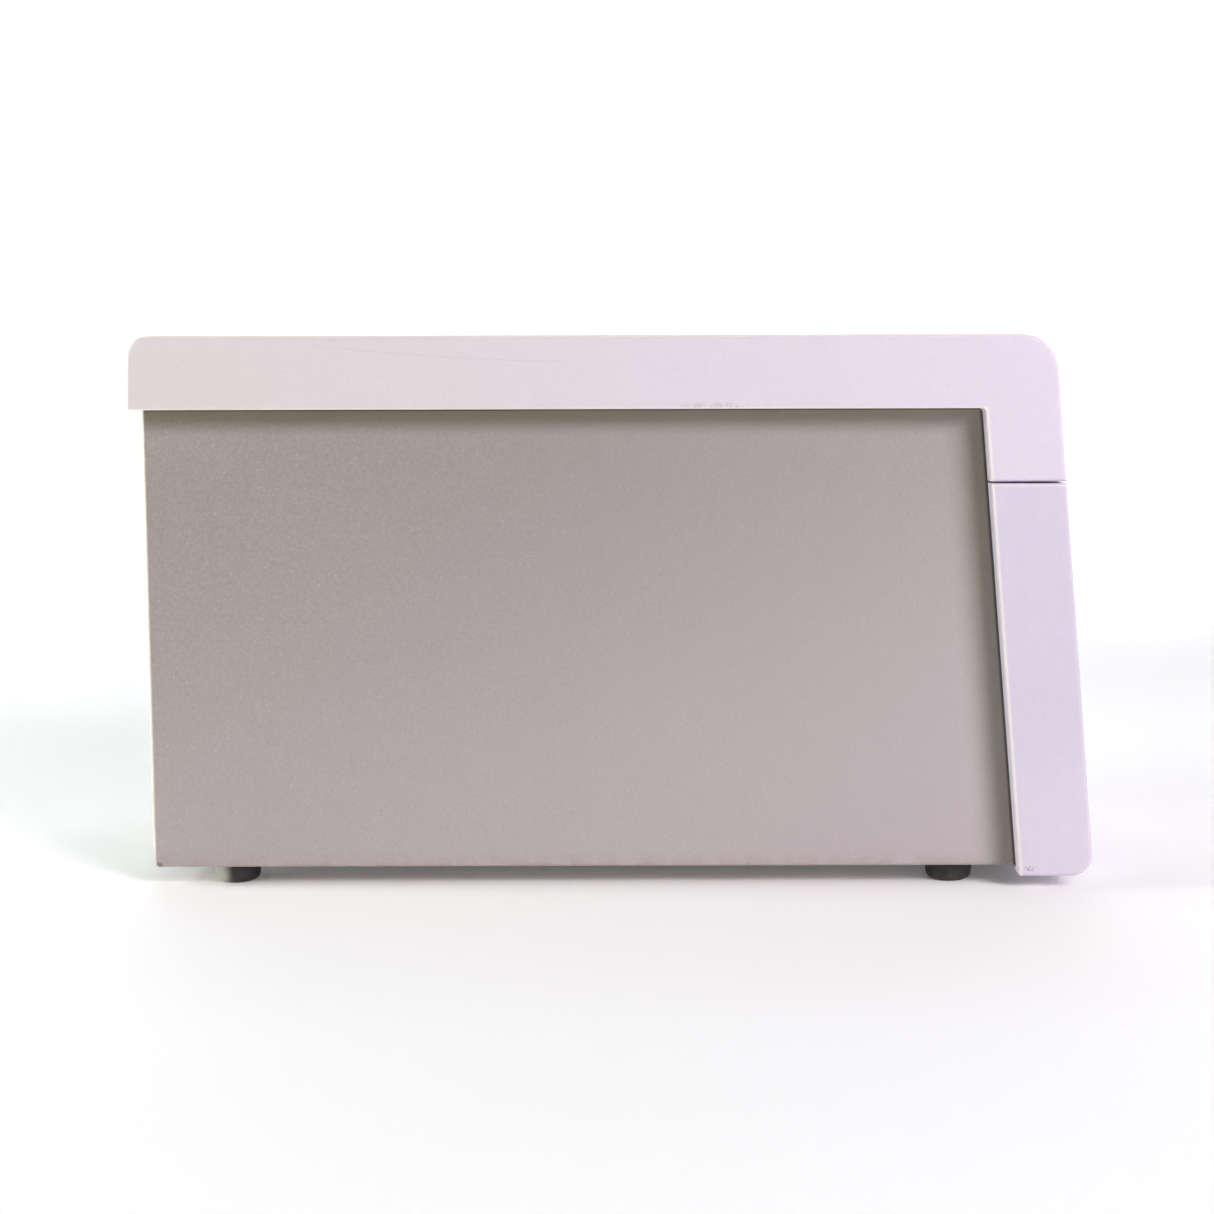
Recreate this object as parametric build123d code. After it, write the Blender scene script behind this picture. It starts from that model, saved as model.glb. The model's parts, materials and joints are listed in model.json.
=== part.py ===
"""Low desktop computer tower: a folded steel case under a moulded hood and front bezel.

Millimetres. +X points to the front, +Z up, and Y runs across the case.
The origin is on the floor, at the middle of the case's length and width.
Each function builds one piece, and the table at the end names the nodes.
"""
from build123d import *
from math import cos, radians, sin, tan
import os

# ---- Overall sizes --------------------------------------------------------
LENGTH = 450.0           # hood's rear edge to the bezel's foremost point
WIDTH = 210.0            # across the hood and the bezel
HEIGHT = 260.0           # floor to the top of the hood
LEAN = 5.25              # the front face leans back by this many degrees

# ---- Moulded shells -------------------------------------------------------
WALL = 2.5               # hood and bezel wall
LIP = 2.0                # returns that close the shells towards the steel sides
HOOD_SKIRT = 34.0        # height of the hood's sides
HOOD_NOSE = 68.2         # height of the hood at the front, down to the seam
HOOD_DRAFT = 2.0         # degrees, the hood's rear wall
HOOD_FRONT_R = 18.0
HOOD_REAR_R = 10.0
EDGE_R = 2.2             # long edges of both shells
SEAM = 0.8               # gap between hood and bezel
SIDE_BAND = 35.0         # depth of the front band seen from the side
BAND_CORNER_R = 2.4
BEZEL_FOOT_R = 9.5
BEZEL_DROP = 2.9         # the bezel reaches this far below the steel floor

# ---- Steel case -----------------------------------------------------------
STEEL = 1.0              # side panels
PLATE = 1.2              # base, rear and front plates
BEND_R = 2.0             # outside radius of the folds
RECESS = 10.0            # steel sides lie this far inside the hood's sides
REAR_SETBACK = 5.0       # steel rear lies this far inside the hood's rear edge
TOP_DROP = 14.0          # steel top lies this far under the hood's top
PANEL_TUCK = 8.0         # side panels reach this far under the front band
BOTTOM_FLANGE = 30.0
TOP_FLANGE = 22.0
REAR_FLANGE = 10.0
CORNER_RELIEF = 2.4
FIT = 0.3                # general clearance between pieces

# ---- Feet -----------------------------------------------------------------
FOOT_HEIGHT = 9.0
FOOT_TOP_R = 11.5
FOOT_BOTTOM_R = 10.4
FOOT_EDGE_R = 3.2
FOOT_REAR = 42.6         # foot centres from the hood's rear edge
FOOT_FRONT = 64.0        # foot centres from the bezel's foremost point
FOOT_INSET = 25.0        # foot centres from the hood's sides
FOOT_SCREW_R = 2.0
FOOT_WEB = 4.4             # rubber above the foot's screw head

# ---- Derived frame --------------------------------------------------------
REAR = -LENGTH / 2
FRONT = LENGTH / 2
SIDE = WIDTH / 2
FLOOR = FOOT_HEIGHT                       # underside of the steel case
BEZEL_BOTTOM = FLOOR - BEZEL_DROP
SKIRT_Z = HEIGHT - HOOD_SKIRT
SEAM_Z = HEIGHT - HOOD_NOSE
HOOD_LIP_Z = SEAM_Z + SEAM / 2
BEZEL_TOP = SEAM_Z - SEAM / 2
BOX_REAR = REAR + REAR_SETBACK
BOX_SIDE = SIDE - RECESS
BOX_TOP = HEIGHT - TOP_DROP
BASE_TOP = FLOOR + STEEL + PLATE          # upper face of the base plate
INNER_SIDE = BOX_SIDE - BEND_R - FIT      # half width of the plates between the side panels
WEB_INNER = BOX_SIDE - STEEL              # inner faces of the side panels
REAR_PLATE_X = BOX_REAR + STEEL           # outer face of the rear plate
CABIN_REAR = REAR_PLATE_X + PLATE         # inner face of the rear plate
FAR = 2 * LENGTH                          # longer than anything in the case


# ---- Small helpers --------------------------------------------------------
def block(x0, x1, y0, y1, z0, z1):
    """A box between two corners."""
    centre = ((x0 + x1) / 2, (y0 + y1) / 2, (z0 + z1) / 2)
    return Pos(*centre) * Box(x1 - x0, y1 - y0, z1 - z0)


def rod(start, end, radius):
    """A cylinder from one point to another."""
    start, end = Vector(*start), Vector(*end)
    length = (end - start).length
    return Plane(origin=start, z_dir=end - start) * Pos(0, 0, length / 2) * Cylinder(radius, length)


def tube(start, end, radius, bore):
    """A cylinder with a hole right through it."""
    return rod(start, end, radius) - rod(start, end, bore)


def outline(points, y0, y1):
    """A solid with this outline in X and Z, from y0 to y1. A third number rounds that corner."""
    face = make_face(Polyline(*[(p[0], p[1]) for p in points], close=True))
    for p in points:
        if len(p) == 3 and p[2] > 0:
            corner = face.vertices().sort_by_distance((p[0], p[1], 0))[0]
            face = fillet(corner, p[2])
    return extrude(Pos(0, y0, 0) * (Plane.XZ * face), amount=y1 - y0, dir=(0, 1, 0))


def both_sides(solid):
    """The solid and its mirror image across the middle of the case."""
    return [solid, mirror(solid, about=Plane.XZ)]


def ball(centre, radius):
    return Pos(*centre) * Sphere(radius)


def joined(parts):
    """One solid from touching or overlapping parts."""
    whole = parts[0]
    for part in parts[1:]:
        whole = whole + part
    return whole


def save(name, *solids):
    """Writes a node, one or several solids, to parts/NAME.step."""
    flat = []
    for solid in solids:
        flat += [s for s in solid.solids()]
    shape = flat[0] if len(flat) == 1 else Compound(children=flat)
    shape.label = name
    export_step(shape, os.path.join("parts", name + ".step"))


# ---- The leaning front ----------------------------------------------------
FOOT_ARC_X = FRONT - BEZEL_FOOT_R
FOOT_ARC_Z = BEZEL_BOTTOM + BEZEL_FOOT_R


def front_x(z, inset=0.0):
    """X of the leaning front face at height z, moved inwards by inset."""
    rise = (z - FOOT_ARC_Z) * sin(radians(LEAN))
    return FOOT_ARC_X + (BEZEL_FOOT_R - inset - rise) / cos(radians(LEAN))


def band_x(z):
    """X of the front band's rear edge at height z."""
    return front_x(z) - SIDE_BAND


def on_front(y, z, out=0.0):
    """A plane on the front face: local x is Y, local y runs up the face, local z points out."""
    normal = Vector(cos(radians(LEAN)), 0, sin(radians(LEAN)))
    origin = Vector(front_x(z), y, z) + normal * out
    return Plane(origin=origin, x_dir=(0, 1, 0), z_dir=normal)


# ---- Places of the main units ---------------------------------------------
DRIVE_W, DRIVE_H, DRIVE_D = 146.0, 41.3, 165.0      # optical drive
DRIVE_GAP = 10.0                                   # below the seam
DRIVE_Z1 = BEZEL_TOP - DRIVE_GAP
DRIVE_Z0 = DRIVE_Z1 - DRIVE_H
DRIVE_FACE = front_x(DRIVE_Z1) - 1.4                # upright face, a little inside the lean
FACEPLATE = 5.0
FLOPPY_W, FLOPPY_H, FLOPPY_D = 101.6, 25.4, 140.0
FLOPPY_GAP = 6.0
FLOPPY_Z1 = DRIVE_Z0 - FLOPPY_GAP
FLOPPY_Z0 = FLOPPY_Z1 - FLOPPY_H
FLOPPY_FACE = front_x(FLOPPY_Z1) - 1.2
DISK_W, DISK_H, DISK_D = 101.6, 26.1, 147.0         # hard disk
DISK_GAP = 8.0
DISK_Z1 = FLOPPY_Z0 - DISK_GAP
DISK_Z0 = DISK_Z1 - DISK_H
FRONT_PLATE_X = front_x(BEZEL_TOP) - 45.0           # rear face of the steel front plate
DISK_X1 = FRONT_PLATE_X - 6.0
BAY_FIT = 0.4                                       # faceplates in the bezel
SLEEVE = 1.6                                        # walls round the bezel's openings

CONTROL_Z = FLOPPY_Z0 - 17.5                        # row of buttons and ports
POWER_Y, POWER_R, POWER_TRAVEL = 72.0, 9.0, 2.5
RESET_Y, RESET_R, RESET_TRAVEL = 49.0, 3.0, 1.5
BUTTON_FIT = 0.3
LIGHT_Y, LIGHT_R, LIGHT_PITCH = 36.0, 1.6, 9.0
FLAP_Y, FLAP_W, FLAP_H, FLAP_T = -52.0, 66.0, 19.0, 2.5
FLAP_FIT = 0.4
FLAP_PIN_R, FLAP_PIN_L, PIN_FIT = 0.9, 2.0, 0.06
PORT_POCKET = 13.0                                  # depth of the pocket behind the flap
VENT_COUNT, VENT_PITCH, VENT_H, VENT_W = 8, 5.6, 2.6, 150.0
VENT_Z0 = FLOOR + 15.0

PSU_W, PSU_H, PSU_D = 150.0, 86.0, 140.0
PSU_Z1 = BOX_TOP - 2.0
PSU_Z0 = PSU_Z1 - PSU_H
PSU_X0, PSU_X1 = CABIN_REAR, CABIN_REAR + PSU_D
PSU_WINDOW = 3.0                                    # rim of the rear plate over the supply
BOARD_SIZE, BOARD_T = 170.0, 1.6
STANDOFF = 6.5
BOARD_Z0 = BASE_TOP + STANDOFF
BOARD_Z1 = BOARD_Z0 + BOARD_T
BOARD_X0 = CABIN_REAR + 1.6
BOARD_X1 = BOARD_X0 + BOARD_SIZE
BOARD_INSET = 15.0                                  # from the steel side to the board's edge
BOARD_Y0 = -BOX_SIDE + BOARD_INSET
BOARD_Y1 = BOARD_Y0 + BOARD_SIZE
IO_W, IO_H = 150.0, 44.4                            # rear port aperture
IO_Y0 = BOARD_Y0 + 14.0
IO_Z0 = BOARD_Z1 - 3.8
SLOT_Y = BOARD_Y0 + 2.0                             # expansion slot centre line
SLOT_W = 12.0
CARD_T = 1.6
CARD_H = 104.0
SLOT_TOP = BOARD_Z1 + 12.0 + CARD_H
REAR_FAN, REAR_FAN_T = 80.0, 25.0
REAR_FAN_Y, REAR_FAN_Z = 14.0, IO_Z0 + IO_H + 5.0 + REAR_FAN / 2
FAN_PITCH_RATIO = 71.5 / 80.0


# ---- Hood -----------------------------------------------------------------
def hood_rear_x(z):
    return REAR + max(z - SKIRT_Z, 0.0) * tan(radians(HOOD_DRAFT))


def hood_outline(y0, y1):
    return outline(
        [
            (hood_rear_x(SKIRT_Z), SKIRT_Z),
            (hood_rear_x(HEIGHT), HEIGHT, HOOD_REAR_R),
            (front_x(HEIGHT), HEIGHT, HOOD_FRONT_R),
            (front_x(HOOD_LIP_Z), HOOD_LIP_Z),
            (band_x(HOOD_LIP_Z), HOOD_LIP_Z),
            (band_x(SKIRT_Z), SKIRT_Z, BAND_CORNER_R),
        ],
        y0,
        y1,
    )


def hood_room(y0, y1):
    """The hollow over the steel case, open at the bottom."""
    top = HEIGHT - WALL
    low = HOOD_LIP_Z - 20.0
    return outline(
        [
            (REAR + WALL, low),
            (REAR + WALL, SKIRT_Z),
            (hood_rear_x(top) + WALL, top, HOOD_REAR_R - WALL),
            (front_x(top, WALL), top, HOOD_FRONT_R - WALL),
            (front_x(low, WALL), low),
        ],
        y0,
        y1,
    )


def hood_pocket(y0, y1):
    """The hollow beside the steel case, closed by lips along its lower edges."""
    top = HEIGHT - WALL
    lip_z = HOOD_LIP_Z + LIP
    skirt = SKIRT_Z + LIP
    return outline(
        [
            (REAR + WALL, skirt),
            (hood_rear_x(top) + WALL, top, HOOD_REAR_R - WALL),
            (front_x(top, WALL), top, HOOD_FRONT_R - WALL),
            (front_x(lip_z, WALL), lip_z),
            (band_x(lip_z) + LIP, lip_z),
            (band_x(skirt) + LIP, skirt),
        ],
        y0,
        y1,
    )


def round_shell_edges(solid, is_outer):
    """Rounds the long edges of both side faces: EDGE_R on the outside run, a small one elsewhere."""
    sides = solid.faces().filter_by(Axis.Y).sort_by(Axis.Y)
    rims = sides[0].edges() + sides[-1].edges()
    outer = [e for e in rims if is_outer(e.center())]
    solid = fillet(outer, EDGE_R)
    sides = solid.faces().filter_by(Axis.Y).sort_by(Axis.Y)
    rims = sides[0].edges() + sides[-1].edges()
    inner = [e for e in rims if not is_outer(e.center())]
    return fillet(inner, 0.5)


CATCH_X = [BOX_REAR + 70.0, FRONT_PLATE_X - 34.0]   # ball catches, front and rear
CATCH_Y = BOX_SIDE - 11.0
CATCH_BALL_R = 2.75
CATCH_BORE_R = 3.0
CATCH_BOSS_R = 5.0
CATCH_NECK_R = 1.6
GROMMET_R = 5.5
GROMMET_HOLE_R = 4.4
BOSS_GAP = 2.5                                      # boss above the steel top
RIB_T, RIB_H = 1.8, 7.0


def hood():
    """Moulded hood over the top and the upper front."""
    shell = round_shell_edges(
        hood_outline(-SIDE, SIDE),
        lambda c: c.X > band_x(c.Z) + 10 or (c.Z > SKIRT_Z + 5 and c.X < band_x(c.Z) - 10),
    )
    case = BOX_SIDE + 2 * FIT
    room = hood_room(-case, case)
    pockets = both_sides(hood_pocket(case - 1.0, SIDE - WALL))
    shell = shell - room - pockets[0] - pockets[1]
    ceiling = HEIGHT - WALL
    ribs = [
        block(x - RIB_T / 2, x + RIB_T / 2, -SIDE + WALL, SIDE - WALL, ceiling - RIB_H, ceiling + 0.5)
        for x in (BOX_REAR + 40.0, -60.0, 30.0, FRONT_PLATE_X - 70.0)
    ]
    bosses = [
        rod((x, y, BOX_TOP + BOSS_GAP), (x, y, ceiling + 0.5), CATCH_BOSS_R)
        for x in CATCH_X
        for y in (-CATCH_Y, CATCH_Y)
    ]
    return joined([shell] + ribs + bosses)


def catch_studs():
    """Ball studs under the hood's bosses."""
    studs = []
    for x in CATCH_X:
        for y in (-CATCH_Y, CATCH_Y):
            low = BOX_TOP - 1.5
            top = BOX_TOP + BOSS_GAP
            neck = rod((x, y, low), (x, y, top), CATCH_NECK_R)
            collar = rod((x, y, top - 1.0), (x, y, top), CATCH_BOSS_R - 1.0)
            studs.append(joined([ball((x, y, low), CATCH_BALL_R), neck, collar]))
    return studs


def catch_grommets():
    """Soft sockets in the side panels' top flanges."""
    rings = []
    for x in CATCH_X:
        for y in (-CATCH_Y, CATCH_Y):
            body = rod((x, y, BOX_TOP - 3.5), (x, y, BOX_TOP + 1.2), GROMMET_R)
            groove = tube((x, y, BOX_TOP - STEEL), (x, y, BOX_TOP), GROMMET_R + 1, GROMMET_HOLE_R)
            bore = rod((x, y, BOX_TOP - 6), (x, y, BOX_TOP + 6), CATCH_BORE_R)
            rings.append(body - groove - bore)
    return rings


# ---- Screws ---------------------------------------------------------------
SCREW_R, SCREW_HEAD_R, SCREW_HEAD_H = 1.5, 3.2, 1.9
SCREW_FIT = 0.2
SUNK_R, SUNK_DEPTH = 3.0, 1.5                       # flat heads, level with the sheet


def screw(place, length, shank=SCREW_R, head=SCREW_HEAD_R, head_h=SCREW_HEAD_H):
    """A cross-head screw. place is a plane under the head whose z points out of the head."""
    body = Pos(0, 0, head_h / 2) * Cylinder(head, head_h)
    body = fillet(body.edges().sort_by(Axis.Z)[-1], head_h * 0.45)
    slot = Box(head * 1.1, head * 0.26, head_h)
    cross = Pos(0, 0, head_h) * (slot + Rot(0, 0, 90) * slot)
    return place * (body - cross + Pos(0, 0, -length / 2) * Cylinder(shank, length))


def sunk_screw(place, length):
    """A flat-head screw whose head is level with the plane."""
    head = Pos(0, 0, -SUNK_DEPTH / 2) * Cone(SCREW_R, SUNK_R, SUNK_DEPTH)
    slot = Box(SUNK_R * 1.1, SUNK_R * 0.26, SUNK_DEPTH)
    cross = slot + Rot(0, 0, 90) * slot
    return place * (head + Pos(0, 0, -length / 2) * Cylinder(SCREW_R, length) - cross)


def sunk_hole(y, z):
    """Clearance for a flat-head screw in the steel rear."""
    cone = Cone(SCREW_R + SCREW_FIT, SUNK_R + SCREW_FIT, SUNK_DEPTH)
    return facing(BOX_REAR, y, z, (-1, 0, 0)) * Pos(0, 0, -SUNK_DEPTH / 2) * cone


def facing(x, y, z, direction):
    """A plane at a point, looking along direction."""
    return Plane(origin=(x, y, z), z_dir=direction)


# ---- Steel case -----------------------------------------------------------
NOSE_X = band_x(BEZEL_BOTTOM) - 1.0                 # front end of the bottom flanges
TOP_FLANGE_X1 = FRONT_PLATE_X - 2.0
BEND_RELIEF = 2.0
FOOT_X = [REAR + FOOT_REAR, FRONT - FOOT_FRONT]
FOOT_Y = SIDE - FOOT_INSET
REAR_SCREW_Z = [FLOOR + 26.0, (FLOOR + BOX_TOP) / 2, BOX_TOP - 24.0]
TONGUE_RISE = 1.2                                   # step under the tongue behind the band
REAR_SCREW_INSET = 5.6                              # from the steel side to the rear screws


def left_panel():
    """Folded side panel with rear, top and bottom flanges."""
    low_front = max(FLOOR + TONGUE_RISE, BEZEL_BOTTOM + WALL + FIT)
    web = outline(
        [
            (BOX_REAR, FLOOR),
            (NOSE_X, FLOOR),
            (NOSE_X, low_front),
            (band_x(low_front) + PANEL_TUCK, low_front),
            (band_x(BOX_TOP) + PANEL_TUCK, BOX_TOP),
            (BOX_REAR, BOX_TOP),
        ],
        -BOX_SIDE,
        -BOX_SIDE + STEEL,
    )
    rear = block(BOX_REAR, BOX_REAR + STEEL, -BOX_SIDE, -BOX_SIDE + REAR_FLANGE, FLOOR, BOX_TOP)
    bottom = block(BOX_REAR, NOSE_X, -BOX_SIDE, -BOX_SIDE + BOTTOM_FLANGE, FLOOR, FLOOR + STEEL)
    top = block(BOX_REAR, TOP_FLANGE_X1, -BOX_SIDE, -BOX_SIDE + TOP_FLANGE, BOX_TOP - STEEL, BOX_TOP)
    panel = joined([web, rear, bottom, top])
    relief_end = TOP_FLANGE_X1 + BEND_RELIEF
    panel -= block(TOP_FLANGE_X1, relief_end, -BOX_SIDE - 1, 0, BOX_TOP - BEND_R - 1, BOX_TOP + 1)
    for z0, z1 in ((FLOOR - 1, FLOOR + CORNER_RELIEF), (BOX_TOP - CORNER_RELIEF, BOX_TOP + 1)):
        panel -= block(BOX_REAR - 1, BOX_REAR + CORNER_RELIEF, -BOX_SIDE - 1, 0, z0, z1)
    folds = [
        (BOX_REAR, -BOX_SIDE, None, BEND_R),
        (None, -BOX_SIDE, FLOOR, BEND_R),
        (None, -BOX_SIDE, BOX_TOP, BEND_R),
        (BOX_REAR + STEEL, -BOX_SIDE + STEEL, None, BEND_R - STEEL),
        (None, -BOX_SIDE + STEEL, FLOOR + STEEL, BEND_R - STEEL),
        (None, -BOX_SIDE + STEEL, BOX_TOP - STEEL, BEND_R - STEEL),
    ]
    for x, y, z, radius in folds:
        panel = fillet(fold_edge(panel, x, y, z), radius)
    for x in FOOT_X:
        panel -= rod((x, -FOOT_Y, FLOOR - 1), (x, -FOOT_Y, FLOOR + 2), FOOT_SCREW_R + FIT)
    for z in REAR_SCREW_Z:
        y = -BOX_SIDE + REAR_SCREW_INSET
        panel -= rod((BOX_REAR - 1, y, z), (BOX_REAR + 2, y, z), SCREW_R + SCREW_FIT)
        panel -= sunk_hole(y, z)
    for x in CATCH_X:
        panel -= rod((x, -CATCH_Y, BOX_TOP - 3), (x, -CATCH_Y, BOX_TOP + 1), GROMMET_HOLE_R)
    return panel


def fold_edge(panel, x, y, z):
    """The long straight edge that lies on these two coordinates."""
    found = []
    for edge in panel.edges().filter_by(GeomType.LINE):
        c = edge.center()
        near_x = x is None or abs(c.X - x) < 0.01
        near_z = z is None or abs(c.Z - z) < 0.01
        if near_x and near_z and abs(c.Y - y) < 0.01 and edge.length > 20:
            found.append(edge)
    return sorted(found, key=lambda e: -e.length)[0]


def slot_x(x0, x1, y, z, long_y, high):
    """A round-ended slot cut along X, long in Y."""
    face = SlotOverall(long_y, high)
    return extrude(Plane(origin=(x0, y, z), x_dir=(0, 1, 0), z_dir=(1, 0, 0)) * face, amount=x1 - x0)


def slot_z(x, y, z0, z1, long_x, wide):
    """A round-ended slot cut along Z, long in X."""
    return extrude(Pos(x, y, z0) * SlotOverall(long_x, wide), amount=z1 - z0)


BASE_X1 = NOSE_X - FIT


def base_plate():
    """Floor of the case, carried on the side panels' bottom flanges."""
    plate = block(CABIN_REAR, BASE_X1, -INNER_SIDE, INNER_SIDE, FLOOR + STEEL, BASE_TOP)
    for x in FOOT_X:
        for y in (-FOOT_Y, FOOT_Y):
            plate -= rod((x, y, FLOOR), (x, y, BASE_TOP + 1), FOOT_SCREW_R + FIT)
    for row in range(5):
        for x in (-20.0, 90.0):
            plate -= slot_z(x, -24.0 + 12.0 * row, FLOOR, BASE_TOP + 1, 60.0, 5.0)
    return plate


def rear_plate():
    """Rear wall with the supply window, port aperture, card slot and fan grille."""
    x0, x1 = REAR_PLATE_X - 1, CABIN_REAR + 1
    plate = block(REAR_PLATE_X, CABIN_REAR, -INNER_SIDE, INNER_SIDE, FLOOR + FIT, BOX_TOP - STEEL - FIT)
    rim = PSU_WINDOW
    plate -= block(x0, x1, -PSU_W / 2 + rim, PSU_W / 2 - rim, PSU_Z0 + rim, PSU_Z1 - rim)
    plate -= block(x0, x1, IO_Y0, IO_Y0 + IO_W, IO_Z0, IO_Z0 + IO_H)
    plate -= block(x0, x1, SLOT_Y - SLOT_W / 2, SLOT_Y + SLOT_W / 2, BOARD_Z1 + 8.0, SLOT_TOP - 4.0)
    reach = REAR_FAN / 2 - 4.0
    for k in range(-5, 6):
        rise = 6.4 * k
        half = (reach**2 - rise**2) ** 0.5
        plate -= slot_x(x0, x1, REAR_FAN_Y, REAR_FAN_Z + rise, 2 * half, 4.2)
    offset = REAR_FAN * FAN_PITCH_RATIO / 2
    for dy in (-offset, offset):
        for dz in (-offset, offset):
            y, z = REAR_FAN_Y + dy, REAR_FAN_Z + dz
            plate -= rod((x0, y, z), (x1, y, z), SCREW_R + SCREW_FIT)
    for z in REAR_SCREW_Z:
        for y in (-BOX_SIDE + REAR_SCREW_INSET, BOX_SIDE - REAR_SCREW_INSET):
            plate -= rod((x0, y, z), (x1, y, z), SCREW_R + SCREW_FIT)
            plate -= sunk_hole(y, z)
    for k in range(6):
        plate -= slot_x(x0, x1, 74.0, REAR_FAN_Z - 30.0 + 12.0 * k, 22.0, 5.0)
    plate -= rod((x0, SLOT_Y, SLOT_TOP + 3.0), (x1, SLOT_Y, SLOT_TOP + 3.0), SCREW_R + SCREW_FIT)
    return plate


BEZEL_POSTS = [(y, z) for y in (-86.0, 86.0) for z in (FLOOR + 20.0, BEZEL_TOP - 14.0)]
POST_R = 3.6
POST_SCREW_R = 1.4


def front_plate():
    """Steel front wall behind the bezel, with windows for the drives."""
    x0, x1 = FRONT_PLATE_X - 1, FRONT_PLATE_X + PLATE + 1
    top = BOX_TOP - STEEL - FIT
    plate = block(FRONT_PLATE_X, FRONT_PLATE_X + PLATE, -INNER_SIDE, INNER_SIDE, BASE_TOP, top)
    half = DRIVE_W / 2 + FIT
    plate -= block(x0, x1, -half, half, DRIVE_Z0 - FIT, DRIVE_Z1 + FIT)
    half = FLOPPY_W / 2 + FIT
    plate -= block(x0, x1, -half, half, FLOPPY_Z0 - FIT, FLOPPY_Z1 + FIT)
    for k in range(VENT_COUNT):
        plate -= slot_x(x0, x1, 0, VENT_Z0 + VENT_PITCH * k, VENT_W - 20, VENT_H + 0.6)
    for y in (-64.0, 64.0):
        plate -= block(x0, x1, y - 9, y + 9, CONTROL_Z - 8, CONTROL_Z + 8)
    for y, z in BEZEL_POSTS:
        plate -= rod((x0, y, z), (x1, y, z), POST_SCREW_R + SCREW_FIT)
    for y in (-FOOT_Y, FOOT_Y):
        plate -= block(x0, x1, y - 4.0, y + 4.0, BASE_TOP - 1, BASE_TOP + 5.0)
    return plate


SHELF_X0, SHELF_X1, SHELF_LEG = PSU_X0 + 45.0, PSU_X0 + 95.0, 14.0


def supply_shelf():
    """Cross shelf under the power supply, fixed to both side panels."""
    shelf = block(SHELF_X0, SHELF_X1, -WEB_INNER, WEB_INNER, PSU_Z0 - PLATE, PSU_Z0)
    legs = both_sides(block(SHELF_X0, SHELF_X1, -WEB_INNER, -WEB_INNER + PLATE, PSU_Z0 - SHELF_LEG, PSU_Z0))
    shelf = joined([shelf] + legs)
    for y in (-40.0, 0.0, 40.0):
        shelf -= slot_z((SHELF_X0 + SHELF_X1) / 2, y, PSU_Z0 - 3, PSU_Z0 + 1, 34.0, 12.0)
    return shelf


CAGE_T = 1.0
CAGE_D = 156.0
CAGE_X0 = FRONT_PLATE_X - CAGE_D
CAGE_RISE = 4.0


def drive_cage():
    """Folded cage that carries the three drives and stands on the base plate."""
    x0, x1 = CAGE_X0, FRONT_PLATE_X
    half, low_half = DRIVE_W / 2, FLOPPY_W / 2
    shelf = block(x0, x1, -half - CAGE_T, half + CAGE_T, DRIVE_Z0 - CAGE_T, DRIVE_Z0)
    upper = both_sides(block(x0, x1, half, half + CAGE_T, DRIVE_Z0 - CAGE_T, DRIVE_Z1 + CAGE_RISE))
    lower = both_sides(block(x0, x1, low_half, low_half + CAGE_T, BASE_TOP, DRIVE_Z0))
    soles = both_sides(block(x0, x1, low_half, low_half + 12.0, BASE_TOP, BASE_TOP + CAGE_T))
    cage = joined([shelf] + upper + lower + soles)
    cage -= block(x0 + 22, x1 - 22, -FAR, FAR, BASE_TOP + 10, DISK_Z0 - 10)
    for x in (x0 + 35, x0 + 78, x0 + 121):
        cage -= slot_z(x, 0, DRIVE_Z0 - 4, DRIVE_Z0 + 1, 30.0, 16.0)
    return cage


FOOT_SEAT = FOOT_HEIGHT - FOOT_WEB


def foot(x, y):
    """Moulded rubber foot with a sunk screw seat."""
    half = make_face(
        Polyline((0, 0), (FOOT_BOTTOM_R, 0), (FOOT_TOP_R, FOOT_HEIGHT), (0, FOOT_HEIGHT), close=True)
    )
    half = fillet(half.vertices().sort_by_distance((FOOT_BOTTOM_R, 0, 0))[0], FOOT_EDGE_R)
    body = revolve(Plane.XZ * half, Axis.Z)
    seat = Pos(0, 0, FOOT_SEAT / 2) * Cylinder(4.4, FOOT_SEAT)
    hole = Cylinder(FOOT_SCREW_R + SCREW_FIT, 3 * FOOT_HEIGHT)
    return Pos(x, y, 0) * (body - seat - hole)


def foot_screws():
    return [
        screw(facing(x, y, FOOT_SEAT, (0, 0, -1)), BASE_TOP - FOOT_SEAT + 3.0, FOOT_SCREW_R, 3.9, 2.4)
        for x in FOOT_X
        for y in (-FOOT_Y, FOOT_Y)
    ]


def case_screws():
    """Screws that fix the side panels' flanges to the rear plate."""
    return [
        sunk_screw(facing(BOX_REAR, y, z, (-1, 0, 0)), 5.0)
        for z in REAR_SCREW_Z
        for y in (-BOX_SIDE + REAR_SCREW_INSET, BOX_SIDE - REAR_SCREW_INSET)
    ]


def bezel_screws():
    return [
        screw(facing(FRONT_PLATE_X, y, z, (-1, 0, 0)), 11.0, POST_SCREW_R - 0.05)
        for y, z in BEZEL_POSTS
    ]


# ---- Front bezel ----------------------------------------------------------
FACE_W, FACE_H = DRIVE_W + 2.5, DRIVE_H + 0.7
FLOPPY_FACE_W, FLOPPY_FACE_H = FLOPPY_W + 1.4, FLOPPY_H + 0.8
DRIVE_MID = (DRIVE_Z0 + DRIVE_Z1) / 2
FLOPPY_MID = (FLOPPY_Z0 + FLOPPY_Z1) / 2
GUIDE_DEPTH = 8.0                                   # tubes that guide the buttons
BOARD_DEPTH = 15.4                                  # front of the switch board, behind the face
SWITCH_BOARD_T = 1.6
PORT_W, PORT_H, PORT_PITCH = 13.2, 5.8, 19.0        # two sockets behind the flap
JACK_R = 3.9
FLAP_Z = CONTROL_Z - FLAP_H / 2
POST_AT = [(LIGHT_Y - 9.0, -7.0), (POWER_Y + 14.0, -7.0)]


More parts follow.
